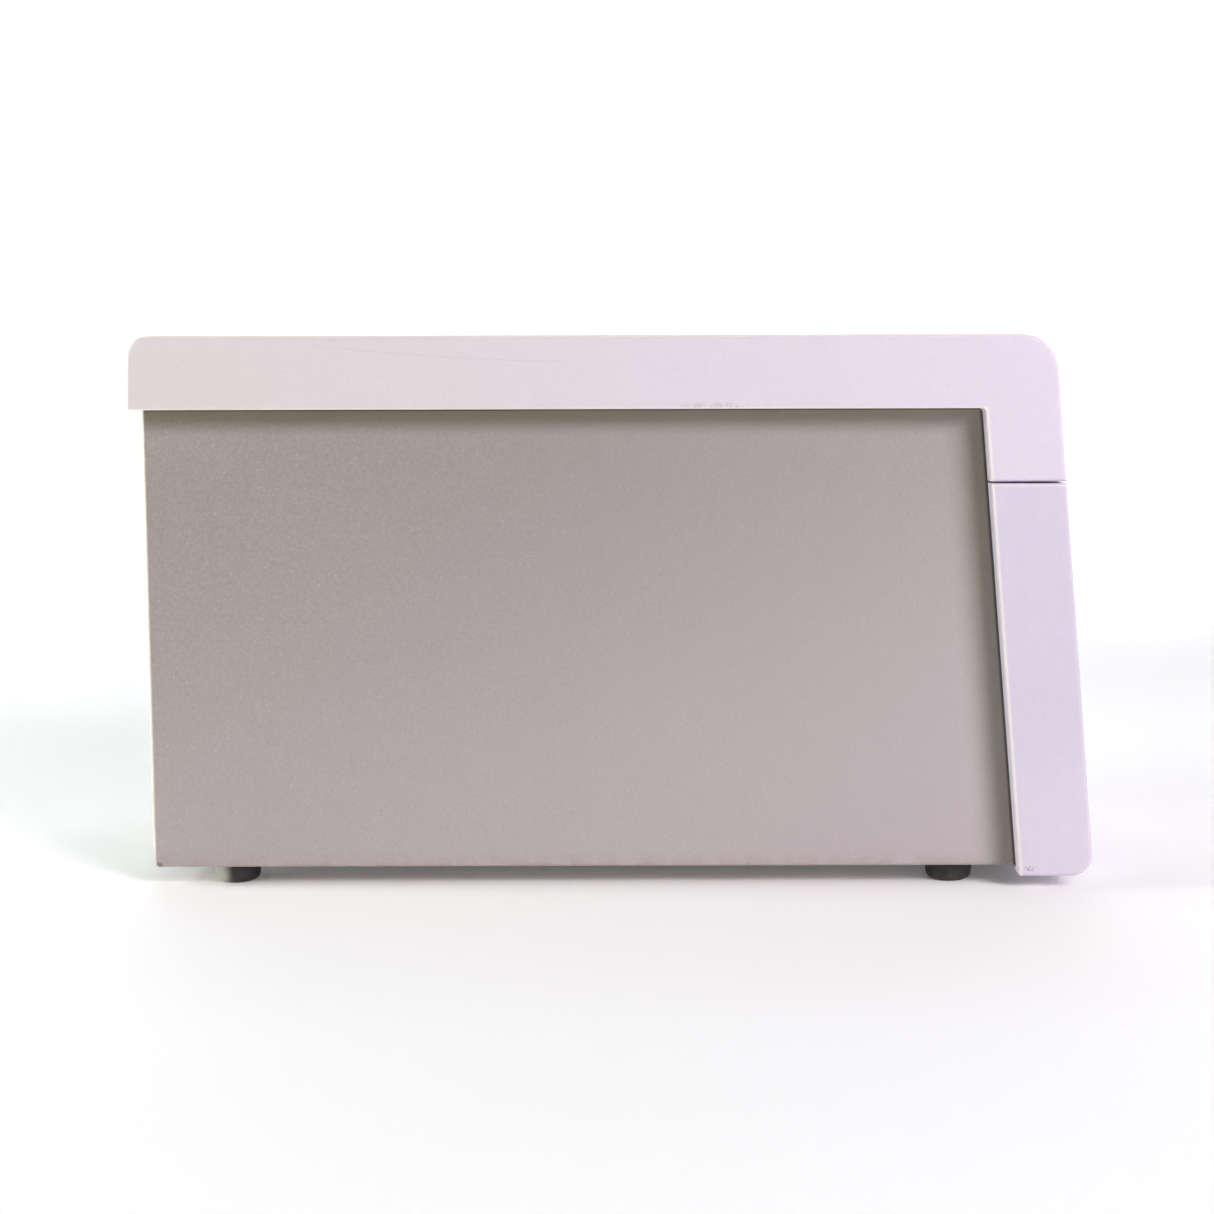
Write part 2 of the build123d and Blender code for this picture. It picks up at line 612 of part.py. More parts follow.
def bezel_outline():
    return outline(
        [
            (band_x(BEZEL_TOP), BEZEL_TOP),
            (front_x(BEZEL_TOP), BEZEL_TOP),
            (front_x(BEZEL_BOTTOM), BEZEL_BOTTOM, BEZEL_FOOT_R),
            (band_x(BEZEL_BOTTOM), BEZEL_BOTTOM),
        ],
        -SIDE,
        SIDE,
    )


def bezel_room(y0, y1, back):
    """The hollow inside the bezel. back is how far its rear edge lies from the band's edge."""
    low, high = BEZEL_BOTTOM + WALL, BEZEL_TOP - WALL
    return outline(
        [
            (band_x(low) + back, low),
            (front_x(low, WALL), low, BEZEL_FOOT_R - WALL),
            (front_x(high, WALL), high),
            (band_x(high) + back, high),
        ],
        y0,
        y1,
    )


def front_box(y, z, wide, high, depth0, depth1):
    """A box square to the leaning face, from depth0 to depth1 behind it."""
    thick = depth1 - depth0
    return on_front(y, z) * Pos(0, 0, -(depth0 + depth1) / 2) * Box(wide, high, thick)


def front_rod(y, z, radius, depth0, depth1, shift=(0, 0)):
    """A cylinder square to the leaning face."""
    middle = -(depth0 + depth1) / 2
    return on_front(y, z) * Pos(shift[0], shift[1], middle) * Cylinder(radius, depth1 - depth0)


def front_bezel():
    """Moulded bezel over the lower front, with bays, buttons' guides, port pocket and vents."""
    body = bezel_outline()
    shell = round_shell_edges(body, lambda c: c.X > band_x(c.Z) + 5 and c.Z < BEZEL_TOP - 1)
    limit = shell
    case = BOX_SIDE + 2 * FIT
    pockets = both_sides(bezel_room(case - 1.0, SIDE - WALL, LIP))
    shell = shell - bezel_room(-case, case, -30.0) - pockets[0] - pockets[1]
    tuck = band_x(BEZEL_TOP) + PANEL_TUCK + 1.5
    for notch in both_sides(block(0, tuck, WEB_INNER - FIT, case, BEZEL_TOP - 5, BEZEL_TOP + 1)):
        shell -= notch
    bays = [
        (FACE_W / 2 + BAY_FIT, DRIVE_MID, FACE_H / 2 + BAY_FIT, DRIVE_FACE - FACEPLATE),
        (FLOPPY_FACE_W / 2 + BAY_FIT, FLOPPY_MID, FLOPPY_FACE_H / 2 + BAY_FIT, FLOPPY_FACE - FACEPLATE),
    ]
    for half, mid, rise, back in bays:
        grow, lift = half + SLEEVE, rise + SLEEVE
        shell += block(back, FRONT + 5, -grow, grow, mid - lift, mid + lift) & limit
    pocket_h = FLAP_H + 2 * FLAP_FIT
    pocket_w = FLAP_W + 2 * FLAP_FIT
    frame = front_box(
        FLAP_Y, CONTROL_Z, pocket_w + 2 * FLAP_PIN_L, pocket_h + 2 * SLEEVE, 1.0, PORT_POCKET + 2.0
    )
    guides = [
        front_rod(POWER_Y, CONTROL_Z, POWER_R + BUTTON_FIT + 1.5, 1.0, GUIDE_DEPTH),
        front_rod(RESET_Y, CONTROL_Z, RESET_R + BUTTON_FIT + 1.5, 1.0, GUIDE_DEPTH),
    ]
    posts = [
        front_rod(0, CONTROL_Z, 2.6, 1.0, BOARD_DEPTH, shift=spot) for spot in POST_AT
    ]
    mounts = [
        rod((FRONT_PLATE_X + PLATE, y, z), (front_x(z) - 1.2, y, z), POST_R) for y, z in BEZEL_POSTS
    ]
    shell = joined([shell, frame] + guides + posts + mounts)
    for half, mid, rise, back in bays:
        shell -= block(back - 8, FRONT + 5, -half, half, mid - rise, mid + rise)
    shell -= front_box(FLAP_Y, CONTROL_Z, pocket_w, pocket_h, -3.0, PORT_POCKET)
    for side in (-1, 1):
        stop_at = on_front(FLAP_Y + side * (pocket_w / 2 - 2.0), CONTROL_Z)
        shell += stop_at * Pos(0, pocket_h / 2 - 1.5, -FLAP_T - 1.3) * Box(4.0, 3.0, 2.2)
    pin_v = FLAP_T / 2 - FLAP_H / 2
    pin_hole = on_front(FLAP_Y, CONTROL_Z) * Pos(0, pin_v, -FLAP_T / 2) * Rot(0, 90, 0)
    shell -= pin_hole * Cylinder(FLAP_PIN_R + PIN_FIT, FLAP_W + 2 * FLAP_PIN_L + 3)
    for k in (-1.5, -0.5):
        shell -= front_box(FLAP_Y + k * PORT_PITCH + 4, CONTROL_Z, PORT_W, PORT_H, 1.0, PORT_POCKET + 5)
    for k in (0.8, 1.5):
        shell -= front_rod(FLAP_Y, CONTROL_Z, JACK_R, 1.0, PORT_POCKET + 5, shift=(k * 15.0, 0))
    shell -= front_rod(POWER_Y, CONTROL_Z, POWER_R + BUTTON_FIT, -3, GUIDE_DEPTH + 1)
    shell -= front_rod(POWER_Y, CONTROL_Z, POWER_R + 3.0, -3, 0.9)
    shell -= front_rod(RESET_Y, CONTROL_Z, RESET_R + BUTTON_FIT, -3, GUIDE_DEPTH + 1)
    for side in (-0.5, 0.5):
        spot = (0, side * LIGHT_PITCH)
        shell -= front_rod(LIGHT_Y, CONTROL_Z, LIGHT_R + SCREW_FIT, -3, WALL + 2, shift=spot)
    for k in range(VENT_COUNT):
        slot = extrude(SlotOverall(VENT_W, VENT_H), amount=8, both=True)
        shell -= on_front(0, VENT_Z0 + VENT_PITCH * k) * slot
    for y, z in BEZEL_POSTS:
        start = FRONT_PLATE_X + PLATE
        shell -= rod((start - 1, y, z), (start + 14.0, y, z), POST_SCREW_R)
    return shell


# ---- Buttons, lights and the port flap ------------------------------------
BUTTON_FLANGE = 1.4
BUTTON_BACK = GUIDE_DEPTH + 0.1 + BUTTON_FLANGE
PLUNGER_GAP = 0.2


def push_button(y, radius, front_depth):
    """A round button with a retaining flange behind its guide."""
    cap = front_rod(y, CONTROL_Z, radius, front_depth, BUTTON_BACK)
    rim = cap.edges().filter_by(GeomType.CIRCLE).sort_by(Axis.X)[-1]
    cap = fillet(rim, min(1.0, radius * 0.25))
    return cap + front_rod(y, CONTROL_Z, radius + 1.1, GUIDE_DEPTH + 0.1, BUTTON_BACK)


def power_button():
    dish = on_front(POWER_Y, CONTROL_Z, out=34.0) * Sphere(34.6)
    return push_button(POWER_Y, POWER_R, 0.2) - dish


def reset_button():
    return push_button(RESET_Y, RESET_R, 0.5)


def status_lights():
    return [
        front_rod(LIGHT_Y, CONTROL_Z, LIGHT_R, -0.25, BOARD_DEPTH, shift=(0, side * LIGHT_PITCH))
        for side in (-0.5, 0.5)
    ]


def tact_switch(y, travel):
    """A small push switch whose plunger stops just short of the button at rest."""
    tip = BUTTON_BACK + travel + PLUNGER_GAP
    case = front_box(y, CONTROL_Z, 6.2, 6.2, tip + 0.8, BOARD_DEPTH)
    return case + front_rod(y, CONTROL_Z, 1.7, tip, tip + 1.0)


def switch_board():
    """Front control board with its two switches."""
    left, right = LIGHT_Y - 13.0, POWER_Y + 18.0
    middle = (left + right) / 2
    back = BOARD_DEPTH + SWITCH_BOARD_T
    plate = front_box(middle, CONTROL_Z, right - left, 22.0, BOARD_DEPTH, back)
    plug = front_box(middle - 6, CONTROL_Z, 16.0, 6.0, back, back + 7.0)
    return [plate, tact_switch(POWER_Y, POWER_TRAVEL), tact_switch(RESET_Y, RESET_TRAVEL), plug]


def port_flap():
    """Hinged flap over the front ports, with its pins along the lower edge."""
    half = FLAP_T / 2
    place = on_front(FLAP_Y, FLAP_Z)
    plate = Pos(0, (FLAP_H + half) / 2, -half) * Box(FLAP_W, FLAP_H - half, FLAP_T)
    edge = Pos(0, half, -half) * Rot(0, 90, 0) * Cylinder(half, FLAP_W)
    pins = Pos(0, half, -half) * Rot(0, 90, 0) * Cylinder(FLAP_PIN_R, FLAP_W + 2 * FLAP_PIN_L)
    scoop = Pos(0, FLAP_H - 1.0, 5.6) * Sphere(7.0)
    return place * (plate + edge + pins - scoop)


# ---- Optical drive --------------------------------------------------------
DRIVE_X1 = DRIVE_FACE - FACEPLATE
DRIVE_X0 = DRIVE_X1 - DRIVE_D
DRIVE_T = 0.8
TRAY_MID = DRIVE_Z1 - 15.0
TRAY_W, TRAY_H, TRAY_D = 129.0, 7.0, 150.0
TRAY_FRONT_W, TRAY_FRONT_H, TRAY_FRONT_T = 132.0, 14.0, 4.0
TRAY_X1 = DRIVE_FACE - TRAY_FRONT_T + 0.4
DISC_X = TRAY_X1 - 65.5
RAIL_FIT = 0.3
EJECT_Y, EJECT_Z, EJECT_W, EJECT_H = 56.0, DRIVE_Z0 + 8.5, 12.0, 5.0
EJECT_TRAVEL = 1.0
FLANGE_GAP, FLANGE_T = 0.1, 1.1                     # flange behind a faceplate's window
FLANGE_BACK = FLANGE_GAP + FLANGE_T


def optical_case():
    """Sheet case with channel rails for the tray."""
    wall = DRIVE_W / 2 - DRIVE_T
    case = block(DRIVE_X0, DRIVE_X1, -DRIVE_W / 2, DRIVE_W / 2, DRIVE_Z0, DRIVE_Z1)
    case -= block(DRIVE_X0 + DRIVE_T, DRIVE_X1 + 1, -wall, wall, DRIVE_Z0 + DRIVE_T, DRIVE_Z1 - DRIVE_T)
    outer = TRAY_H / 2 + RAIL_FIT + 1.6
    slide = TRAY_H / 2 + RAIL_FIT
    side = TRAY_W / 2 + RAIL_FIT
    rail = block(DRIVE_X0 + 4, DRIVE_X1 - 1, -wall, -side + 3.2, TRAY_MID - outer, TRAY_MID + outer)
    rail -= block(DRIVE_X0, DRIVE_X1 + 1, -side, 0, TRAY_MID - slide, TRAY_MID + slide)
    for one in both_sides(rail):
        case += one
    case -= block(DRIVE_X0 - 1, DRIVE_X0 + 2, -52.0, -2.0, DRIVE_Z0 + 6.0, DRIVE_Z0 + 16.0)
    return case


def optical_face():
    """Faceplate with the tray window, button window and light."""
    x0, x1 = DRIVE_X1, DRIVE_FACE
    half, rise = FACE_W / 2, FACE_H / 2
    face = block(x0, x1, -half, half, DRIVE_MID - rise, DRIVE_MID + rise)
    face = fillet(face.faces().sort_by(Axis.X)[-1].edges(), 0.8)
    wide, high = TRAY_FRONT_W / 2 + FIT, TRAY_FRONT_H / 2 + FIT
    face -= block(x0 - 1, x1 + 1, -wide, wide, TRAY_MID - high, TRAY_MID + high)
    wide, high = EJECT_W / 2 + FIT, EJECT_H / 2 + FIT
    face -= block(x0 - 1, x1 + 1, EJECT_Y - wide, EJECT_Y + wide, EJECT_Z - high, EJECT_Z + high)
    face -= rod((x0 - 1, 40.0, EJECT_Z), (x1 + 1, 40.0, EJECT_Z), 1.2)
    face -= rod((x0 + 1, -60.0, EJECT_Z), (x1 + 1, -60.0, EJECT_Z), 1.8)
    return face


def optical_deck():
    """Drive light, headphone socket and the disc motor under the tray."""
    top = TRAY_MID - TRAY_H / 2 - RAIL_FIT - 0.7
    low = DRIVE_Z0 + DRIVE_T
    deck = block(DISC_X - 55, DISC_X + 22, -40.0, 40.0, low, low + 3.0)
    motor = rod((DISC_X, 0, low), (DISC_X, 0, top), 11.0)
    motor += block(DISC_X - 44, DISC_X - 20, -11, 11, low, top)
    key_x = DRIVE_X1 - FLANGE_BACK - EJECT_TRAVEL - 0.2
    light = rod((key_x - 2.2, 40.0, EJECT_Z), (DRIVE_FACE - 0.2, 40.0, EJECT_Z), 1.05)
    board = block(key_x - 3.6, key_x - 2.2, 34.0, 70.0, low, low + 13.0)
    key = block(key_x - 2.2, key_x, EJECT_Y - 2, EJECT_Y + 2, EJECT_Z - 2, EJECT_Z + 2)
    return [deck + motor, light, board + key]


def disc_tray():
    """Loading tray with the disc recess and the slot for the disc motor."""
    x0 = TRAY_X1 - TRAY_D
    low, high = TRAY_MID - TRAY_H / 2, TRAY_MID + TRAY_H / 2
    tray = block(x0, TRAY_X1, -TRAY_W / 2, TRAY_W / 2, low, high)
    tray -= rod((DISC_X, 0, high - 2.0), (DISC_X, 0, high + 1), 60.6)
    tray -= rod((DISC_X, 0, high - 3.4), (DISC_X, 0, high), 40.6)
    tray -= slot_z(DISC_X - 24, 0, low - 1, high + 1, 84.0, 36.0)
    back_edges = tray.edges().filter_by(Axis.Z).group_by(Axis.X)[0]
    return fillet(back_edges, 6.0)


def disc_tray_front():
    half, rise = TRAY_FRONT_W / 2, TRAY_FRONT_H / 2
    x0, x1 = TRAY_X1, TRAY_X1 + TRAY_FRONT_T
    front = block(x0, x1, -half, half, TRAY_MID - rise, TRAY_MID + rise)
    return fillet(front.faces().sort_by(Axis.X)[-1].edges(), 0.8)


def face_button(tip, y, z, wide, high, back):
    """A rectangular key in a faceplate, with a wider flange behind the plate."""
    half, rise = wide / 2, high / 2
    key = block(back, tip, y - half, y + half, z - rise, z + rise)
    key = fillet(key.faces().sort_by(Axis.X)[-1].edges(), 0.6)
    key += block(back - FLANGE_GAP, back, y - half, y + half, z - rise, z + rise)
    half, rise = half + 0.8, rise + 0.8
    return key + block(back - FLANGE_BACK, back - FLANGE_GAP, y - half, y + half, z - rise, z + rise)


# ---- Floppy drive ---------------------------------------------------------
FLOPPY_X1 = FLOPPY_FACE - FACEPLATE
FLOPPY_X0 = FLOPPY_X1 - FLOPPY_D
DISKETTE_W, DISKETTE_H = 92.0, 3.8
DISKETTE_Z = FLOPPY_Z0 + 16.4
SHUTTER_T, SHUTTER_H = 0.9, 5.6
SHUTTER_PIN_R = 0.7
SHUTTER_PIN_Z = DISKETTE_Z + DISKETTE_H / 2 + 1.3
SHUTTER_PIN_X = FLOPPY_X1 - 1.6
FEJECT_Y, FEJECT_Z, FEJECT_W, FEJECT_H = 30.0, FLOPPY_Z0 + 6.6, 14.0, 6.4
FEJECT_PROUD = 4.6


def floppy_case():
    half = FLOPPY_W / 2
    case = block(FLOPPY_X0, FLOPPY_X1, -half, half, FLOPPY_Z0, FLOPPY_Z1)
    case -= block(FLOPPY_X0 + 1, FLOPPY_X1 + 1, -half + 1, half - 1, FLOPPY_Z0 + 1, FLOPPY_Z1 - 1)
    case += block(FLOPPY_X0 + 1, FLOPPY_X1 - 12, -half + 1, half - 1, FLOPPY_Z0 + 1, FLOPPY_Z0 + 4)
    case += block(FLOPPY_X0 + 20, FLOPPY_X1 - 24, -half + 1, half - 1, FLOPPY_Z1 - 8, FLOPPY_Z1 - 5)
    case -= block(FLOPPY_X0 - 1, FLOPPY_X0 + 2, -40.0, 10.0, FLOPPY_Z0 + 5.0, FLOPPY_Z0 + 11.0)
    return case


def floppy_face():
    """Faceplate with the diskette slot, finger relief, key window and shutter bearings."""
    x0, x1 = FLOPPY_X1, FLOPPY_FACE
    half, mid, rise = FLOPPY_FACE_W / 2, FLOPPY_MID, FLOPPY_FACE_H / 2
    face = block(x0, x1, -half, half, mid - rise, mid + rise)
    face = fillet(face.faces().sort_by(Axis.X)[-1].edges(), 0.8)
    for side in (-1, 1):
        y = side * (DISKETTE_W / 2 + 1.6)
        z = SHUTTER_PIN_Z
        face += block(SHUTTER_PIN_X - 1.6, x0 + 0.5, y - 0.8, y + 0.8, z - 1.6, z + 1.6)
    reach = DISKETTE_W / 2 + 3.0
    pin = (SHUTTER_PIN_X, SHUTTER_PIN_Z)
    face -= rod((pin[0], -reach, pin[1]), (pin[0], reach, pin[1]), SHUTTER_PIN_R + PIN_FIT)
    wide, high = DISKETTE_W / 2, DISKETTE_H / 2
    face -= block(x0 - 1, x1 + 1, -wide, wide, DISKETTE_Z - high, DISKETTE_Z + high)
    face -= block(x1 - 2.2, x1 + 1, -16.0, 16.0, DISKETTE_Z - high - 4.0, DISKETTE_Z)
    wide, high = FEJECT_W / 2 + FIT, FEJECT_H / 2 + FIT
    face -= block(x0 - 1, x1 + 1, FEJECT_Y - wide, FEJECT_Y + wide, FEJECT_Z - high, FEJECT_Z + high)
    face -= block(x0 - 1, x1 + 1, -34.0, -28.0, FEJECT_Z - 1.4, FEJECT_Z + 1.4)
    return face


def floppy_light():
    return block(FLOPPY_X1 - 1, FLOPPY_FACE - 0.2, -33.8, -28.2, FEJECT_Z - 1.2, FEJECT_Z + 1.2)


def floppy_shutter():
    """Inner flap that swings away from the slot, hung on a thin rod."""
    half = DISKETTE_W / 2 + 0.4
    x, z = SHUTTER_PIN_X, SHUTTER_PIN_Z
    leaf = block(x - SHUTTER_T / 2, x + SHUTTER_T / 2, -half, half, z - SHUTTER_H, z)
    leaf += rod((x, -half, z), (x, half, z), SHUTTER_PIN_R + 0.3)
    return leaf + rod((x, -half - 2.0, z), (x, half + 2.0, z), SHUTTER_PIN_R)


# ---- Hard disk ------------------------------------------------------------
DISK_X0 = DISK_X1 - DISK_D


def hard_disk():
    """Cast body, raised lid with the spindle cap, and the control board below."""
    half = DISK_W / 2
    body = block(DISK_X0, DISK_X1, -half, half, DISK_Z0 + 3.0, DISK_Z1 - 2.0)
    body = fillet(body.edges().filter_by(Axis.Z), 3.0)
    body -= block(DISK_X0 - 1, DISK_X0 + 14.0, -46.0, 46.0, DISK_Z0, DISK_Z0 + 8.0)
    lid = outline_top(DISK_X0 + 4, DISK_X1 - 4, half - 3, 8.0, DISK_Z1 - 2.0, DISK_Z1 - 0.6)
    cap = rod((DISK_X1 - 52, 0, DISK_Z1 - 1), (DISK_X1 - 52, 0, DISK_Z1), 14.0)
    board = block(DISK_X0 + 1, DISK_X1 - 42, -44.0, 44.0, DISK_Z0 + 1.4, DISK_Z0 + 3.0)
    plug = block(DISK_X0, DISK_X0 + 9, -44.0, 10.0, DISK_Z0 + 1.5, DISK_Z0 + 8.0)
    power = block(DISK_X0, DISK_X0 + 9, 20.0, 43.0, DISK_Z0 + 1.5, DISK_Z0 + 9.6)
    return [joined([body, lid, cap]), board, plug, power]


def outline_top(x0, x1, half, radius, z0, z1):
    """A flat plate with rounded corners, seen from above."""
    plate = block(x0, x1, -half, half, z0, z1)
    return fillet(plate.edges().filter_by(Axis.Z), radius)


# ---- Motherboard ----------------------------------------------------------
BOARD_HOLES = [
    (BOARD_X0 + dx, BOARD_Y0 + dy)
    for dx in (6.4, 163.8)
    for dy in (6.4, 163.6)
]
STANDOFF_R = 2.8
SOCKET_X, SOCKET_Y, SOCKET_W, SOCKET_H = BOARD_X0 + 92.0, 12.0, 50.0, 3.6
CHIP_H = 2.6
SINK_W, SINK_H, SINK_BASE, SINK_FINS = 66.0, 26.0, 5.0, 17
SINK_Z0 = BOARD_Z1 + SOCKET_H + CHIP_H
CPU_FAN, CPU_FAN_T = 70.0, 15.0
CPU_FAN_Z = SINK_Z0 + SINK_H + CPU_FAN_T / 2
MEMORY_Y, MEMORY_PITCH, MEMORY_L = 66.0, 10.5, 138.0
MEMORY_X = BOARD_X0 + 26.0


def motherboard():
    board = block(BOARD_X0, BOARD_X1, BOARD_Y0, BOARD_Y1, BOARD_Z0, BOARD_Z1)
    for x, y in BOARD_HOLES:
        board -= rod((x, y, BOARD_Z0 - 1), (x, y, BOARD_Z1 + 1), SCREW_R + SCREW_FIT)
    return board


def board_standoffs():
    """Pillars and screws under the board's corners."""
    made = []
    for x, y in BOARD_HOLES:
        made.append(rod((x, y, BASE_TOP), (x, y, BOARD_Z0), STANDOFF_R))
        made.append(screw(facing(x, y, BOARD_Z1, (0, 0, 1)), BOARD_T, SCREW_R, 2.8, 1.6))
    return made


POWER_PLUG_X, POWER_PLUG_Y = BOARD_X1 - 24.0, 18.0
RIBBON_X = BOARD_X1 - 9.0
RIBBON_Y = (-24.0, 24.0)


def board_parts():
    """Coils, capacitors, chips and plugs on the board."""
    top = BOARD_Z1
    made = []
    for k in range(7):
        x, y = BOARD_X0 + 44.0 + 12.0 * k, -28.0
        made.append(rod((x, y, top), (x, y, top + 11.0), 4.0))
    for k in range(4):
        x, y = BOARD_X0 + 62.0 + 18.0 * k, 53.5
        made.append(rod((x, y, top), (x, y, top + 8.0), 3.2))
    made.append(block(BOARD_X0 + 60, BOARD_X0 + 92, -66.0, -34.0, top, top + 2.4))
    made.append(block(BOARD_X0 + 66, BOARD_X0 + 86, -60.0, -40.0, top + 2.4, top + 14.0))
    made.append(block(BOARD_X0 + 128, BOARD_X0 + 148, -62.0, -42.0, top, top + 2.0))
    made.append(rod((BOARD_X0 + 112, -56.0, top), (BOARD_X0 + 112, -56.0, top + 5.0), 10.2))
    x, y = POWER_PLUG_X, POWER_PLUG_Y
    made.append(block(x - 5, x + 5, y - 26, y + 26, top, top + 12.0))
    for y in RIBBON_Y:
        made.append(block(RIBBON_X - 4, RIBBON_X + 4, y - 23, y + 23, top, top + 8.0))
    return made


def cpu_socket():
    x, half = SOCKET_X, SOCKET_W / 2
    socket = block(x - half, x + half, SOCKET_Y - 25, SOCKET_Y + 25, BOARD_Z1, BOARD_Z1 + SOCKET_H)
    clips = [
        block(x - 5, x + 5, y - 1.5, y + 1.5, BOARD_Z1, BOARD_Z1 + 3)
        for y in (SOCKET_Y - 26.5, SOCKET_Y + 26.5)
    ]
    return joined([socket] + clips)


def processor():
    top = BOARD_Z1 + SOCKET_H
    plate = block(SOCKET_X - 21, SOCKET_X + 21, SOCKET_Y - 21, SOCKET_Y + 21, top, top + 1.0)
    lid = block(SOCKET_X - 15, SOCKET_X + 15, SOCKET_Y - 15, SOCKET_Y + 15, top + 1.0, top + CHIP_H)
    return plate + lid


def heatsink():
    """Extruded cooler with upright fins."""
    half = SINK_W / 2
    x0, x1, top = SOCKET_X - half, SOCKET_X + half, SINK_Z0 + SINK_H
    sink = block(x0, x1, SOCKET_Y - half, SOCKET_Y + half, SINK_Z0, top)
    pitch = SINK_W / SINK_FINS
    for k in range(1, SINK_FINS):
        y = SOCKET_Y - half + pitch * k
        sink -= block(x0 - 1, x1 + 1, y - 1.1, y + 1.1, SINK_Z0 + SINK_BASE, top + 1)
    return sink


def memory_slots():
    made = []
    for k in range(2):
        y = MEMORY_Y + MEMORY_PITCH * k
        x0, x1 = MEMORY_X, MEMORY_X + MEMORY_L
        slot = block(x0, x1, y - 3.6, y + 3.6, BOARD_Z1, BOARD_Z1 + 8.0)
        ends = [
            block(x - 3, x + 3, y - 3.0, y + 3.0, BOARD_Z1, BOARD_Z1 + 20.0)
            for x in (x0 - 1.6, x1 + 1.6)
        ]
        groove = block(x0 + 2, x1 - 2, y - 0.65, y + 0.65, BOARD_Z1 + 3.0, BOARD_Z1 + 30.0)
        made.append(joined([slot] + ends) - groove)
    return made


def memory_modules():
    made = []
    for k in range(2):
        y = MEMORY_Y + MEMORY_PITCH * k
        low = BOARD_Z1 + 3.0
        x0, x1 = MEMORY_X + 2.0, MEMORY_X + MEMORY_L - 2.0
        module = block(x0, x1, y - 0.65, y + 0.65, low, low + 31.0)
        chips = [
            block(x + 5, x + 16, y - 1.8, y + 1.8, low + 9.0, low + 27.0)
            for x in [x0 + 16.0 * n for n in range(8)]
        ]
        made.append(joined([module] + chips))
    return made


# ---- Rear ports and expansion card ----------------------------------------
PORT_FACE = REAR_PLATE_X - 0.6                      # ports end a little outside the rear plate
PORT_FIT = 0.25
REAR_PORTS = [
    # centre from the aperture's edge, width, height above the board, depth
    ("mouse", 12.0, 14.0, 27.0, 14.0),
    ("serial", 42.0, 31.0, 13.0, 14.0),
    ("stack", 72.0, 14.0, 16.0, 16.0),
    ("network", 96.0, 16.5, 28.5, 20.0),
    ("stack", 117.0, 14.0, 16.0, 16.0),
    ("sound", 138.0, 14.0, 34.0, 14.0),
]


def io_shield():
    x0, x1 = REAR_PLATE_X, REAR_PLATE_X + 0.6
    plate = block(x0, x1, IO_Y0, IO_Y0 + IO_W, IO_Z0, IO_Z0 + IO_H)
    for _, at, wide, high, _ in REAR_PORTS:
        y, half = IO_Y0 + at, wide / 2 + PORT_FIT
        plate -= block(x0 - 1, x1 + 1, y - half, y + half, BOARD_Z1 - PORT_FIT, BOARD_Z1 + high + PORT_FIT)
    return plate


def port_cavity(x, wide, high, depth, y, z):
    """A connector mouth with a tongue across its middle."""
    mouth = block(x - 1, x + depth, y - wide / 2, y + wide / 2, z - high / 2, z + high / 2)
    tongue = block(x + 1.2, x + depth + 1, y - wide / 2 + 1.4, y + wide / 2 - 1.4, z - 0.9, z + 0.9)
    return mouth - tongue


def rear_ports():
    """Port bodies on the board's rear edge, with their mouths cut in."""
    made = []
    for kind, at, wide, high, depth in REAR_PORTS:
        y = IO_Y0 + at
        body = block(PORT_FACE, BOARD_X0 + depth, y - wide / 2, y + wide / 2, BOARD_Z1, BOARD_Z1 + high)
        z = BOARD_Z1 + high / 2
        if kind == "mouse":
            for rise in (7.0, 20.5):
                mid = BOARD_Z1 + rise
                body -= tube((PORT_FACE - 1, y, mid), (PORT_FACE + 8, y, mid), 4.9, 3.6)
        elif kind == "serial":
            body -= block(PORT_FACE - 1, PORT_FACE + 1.6, y - 9.5, y + 9.5, z - 4.4, z + 4.4)
            body += block(PORT_FACE, PORT_FACE + 3, y - 8.0, y + 8.0, z - 3.2, z + 3.2)
        elif kind == "stack":
            for rise in (4.2, 11.8):
                body -= port_cavity(PORT_FACE, 12.4, 5.0, 11.0, y, BOARD_Z1 + rise)
        elif kind == "network":
            low, high = BOARD_Z1 + 17.6, BOARD_Z1 + 26.4
            body -= block(PORT_FACE - 1, PORT_FACE + 12.0, y - 6.0, y + 6.0, low, high)
            for rise in (4.0, 11.2):
                body -= port_cavity(PORT_FACE, 12.4, 5.0, 11.0, y, BOARD_Z1 + rise)
        else:
            for rise in (6.0, 17.0, 28.0):
                mid = BOARD_Z1 + rise
                body -= rod((PORT_FACE - 1, y, mid), (PORT_FACE + 10, y, mid), 1.8)
        made.append(body)
    return made


CARD_Z0 = BOARD_Z1 + 9.0
CARD_X1 = BOARD_X0 + 150.0


def expansion_card():
    """Card in its slot, with a heat spreader and chips."""
    low, top = CARD_Z0, CARD_Z0 + CARD_H - 14
    y0, y1 = SLOT_Y - CARD_T / 2, SLOT_Y + CARD_T / 2
    card = block(BOARD_X0 + 2, CARD_X1, y0, y1, low, top)
    card += block(BOARD_X0 + 30, CARD_X1 - 22, y0, y1, BOARD_Z1 + 3, low)
    spreader = block(BOARD_X0 + 50, BOARD_X0 + 92, y1, y1 + 9.0, low + 22, low + 62)
    for k in range(1, 8):
        z = low + 22 + 5.0 * k
        spreader -= block(BOARD_X0 + 49, BOARD_X0 + 93, y1 + 2.5, y1 + 10.0, z - 1.4, z + 1.4)
    chips = [
        block(x, x + 11, y1, y1 + 1.4, z, z + 18)
        for x in (BOARD_X0 + 104, BOARD_X0 + 120)
        for z in (low + 20, low + 44)
    ]
    return joined([card, spreader] + chips)


def card_slot():
    """Board connector that holds the card's lower edge."""
    x0, x1, half = BOARD_X0 + 26, CARD_X1 - 18, CARD_T / 2
    slot = block(x0, x1, SLOT_Y - 4.2, SLOT_Y + 4.2, BOARD_Z1, BOARD_Z1 + 8.5)
    return slot - block(x0 + 2, x1 - 2, SLOT_Y - half, SLOT_Y + half, BOARD_Z1 + 3, BOARD_Z1 + 9)


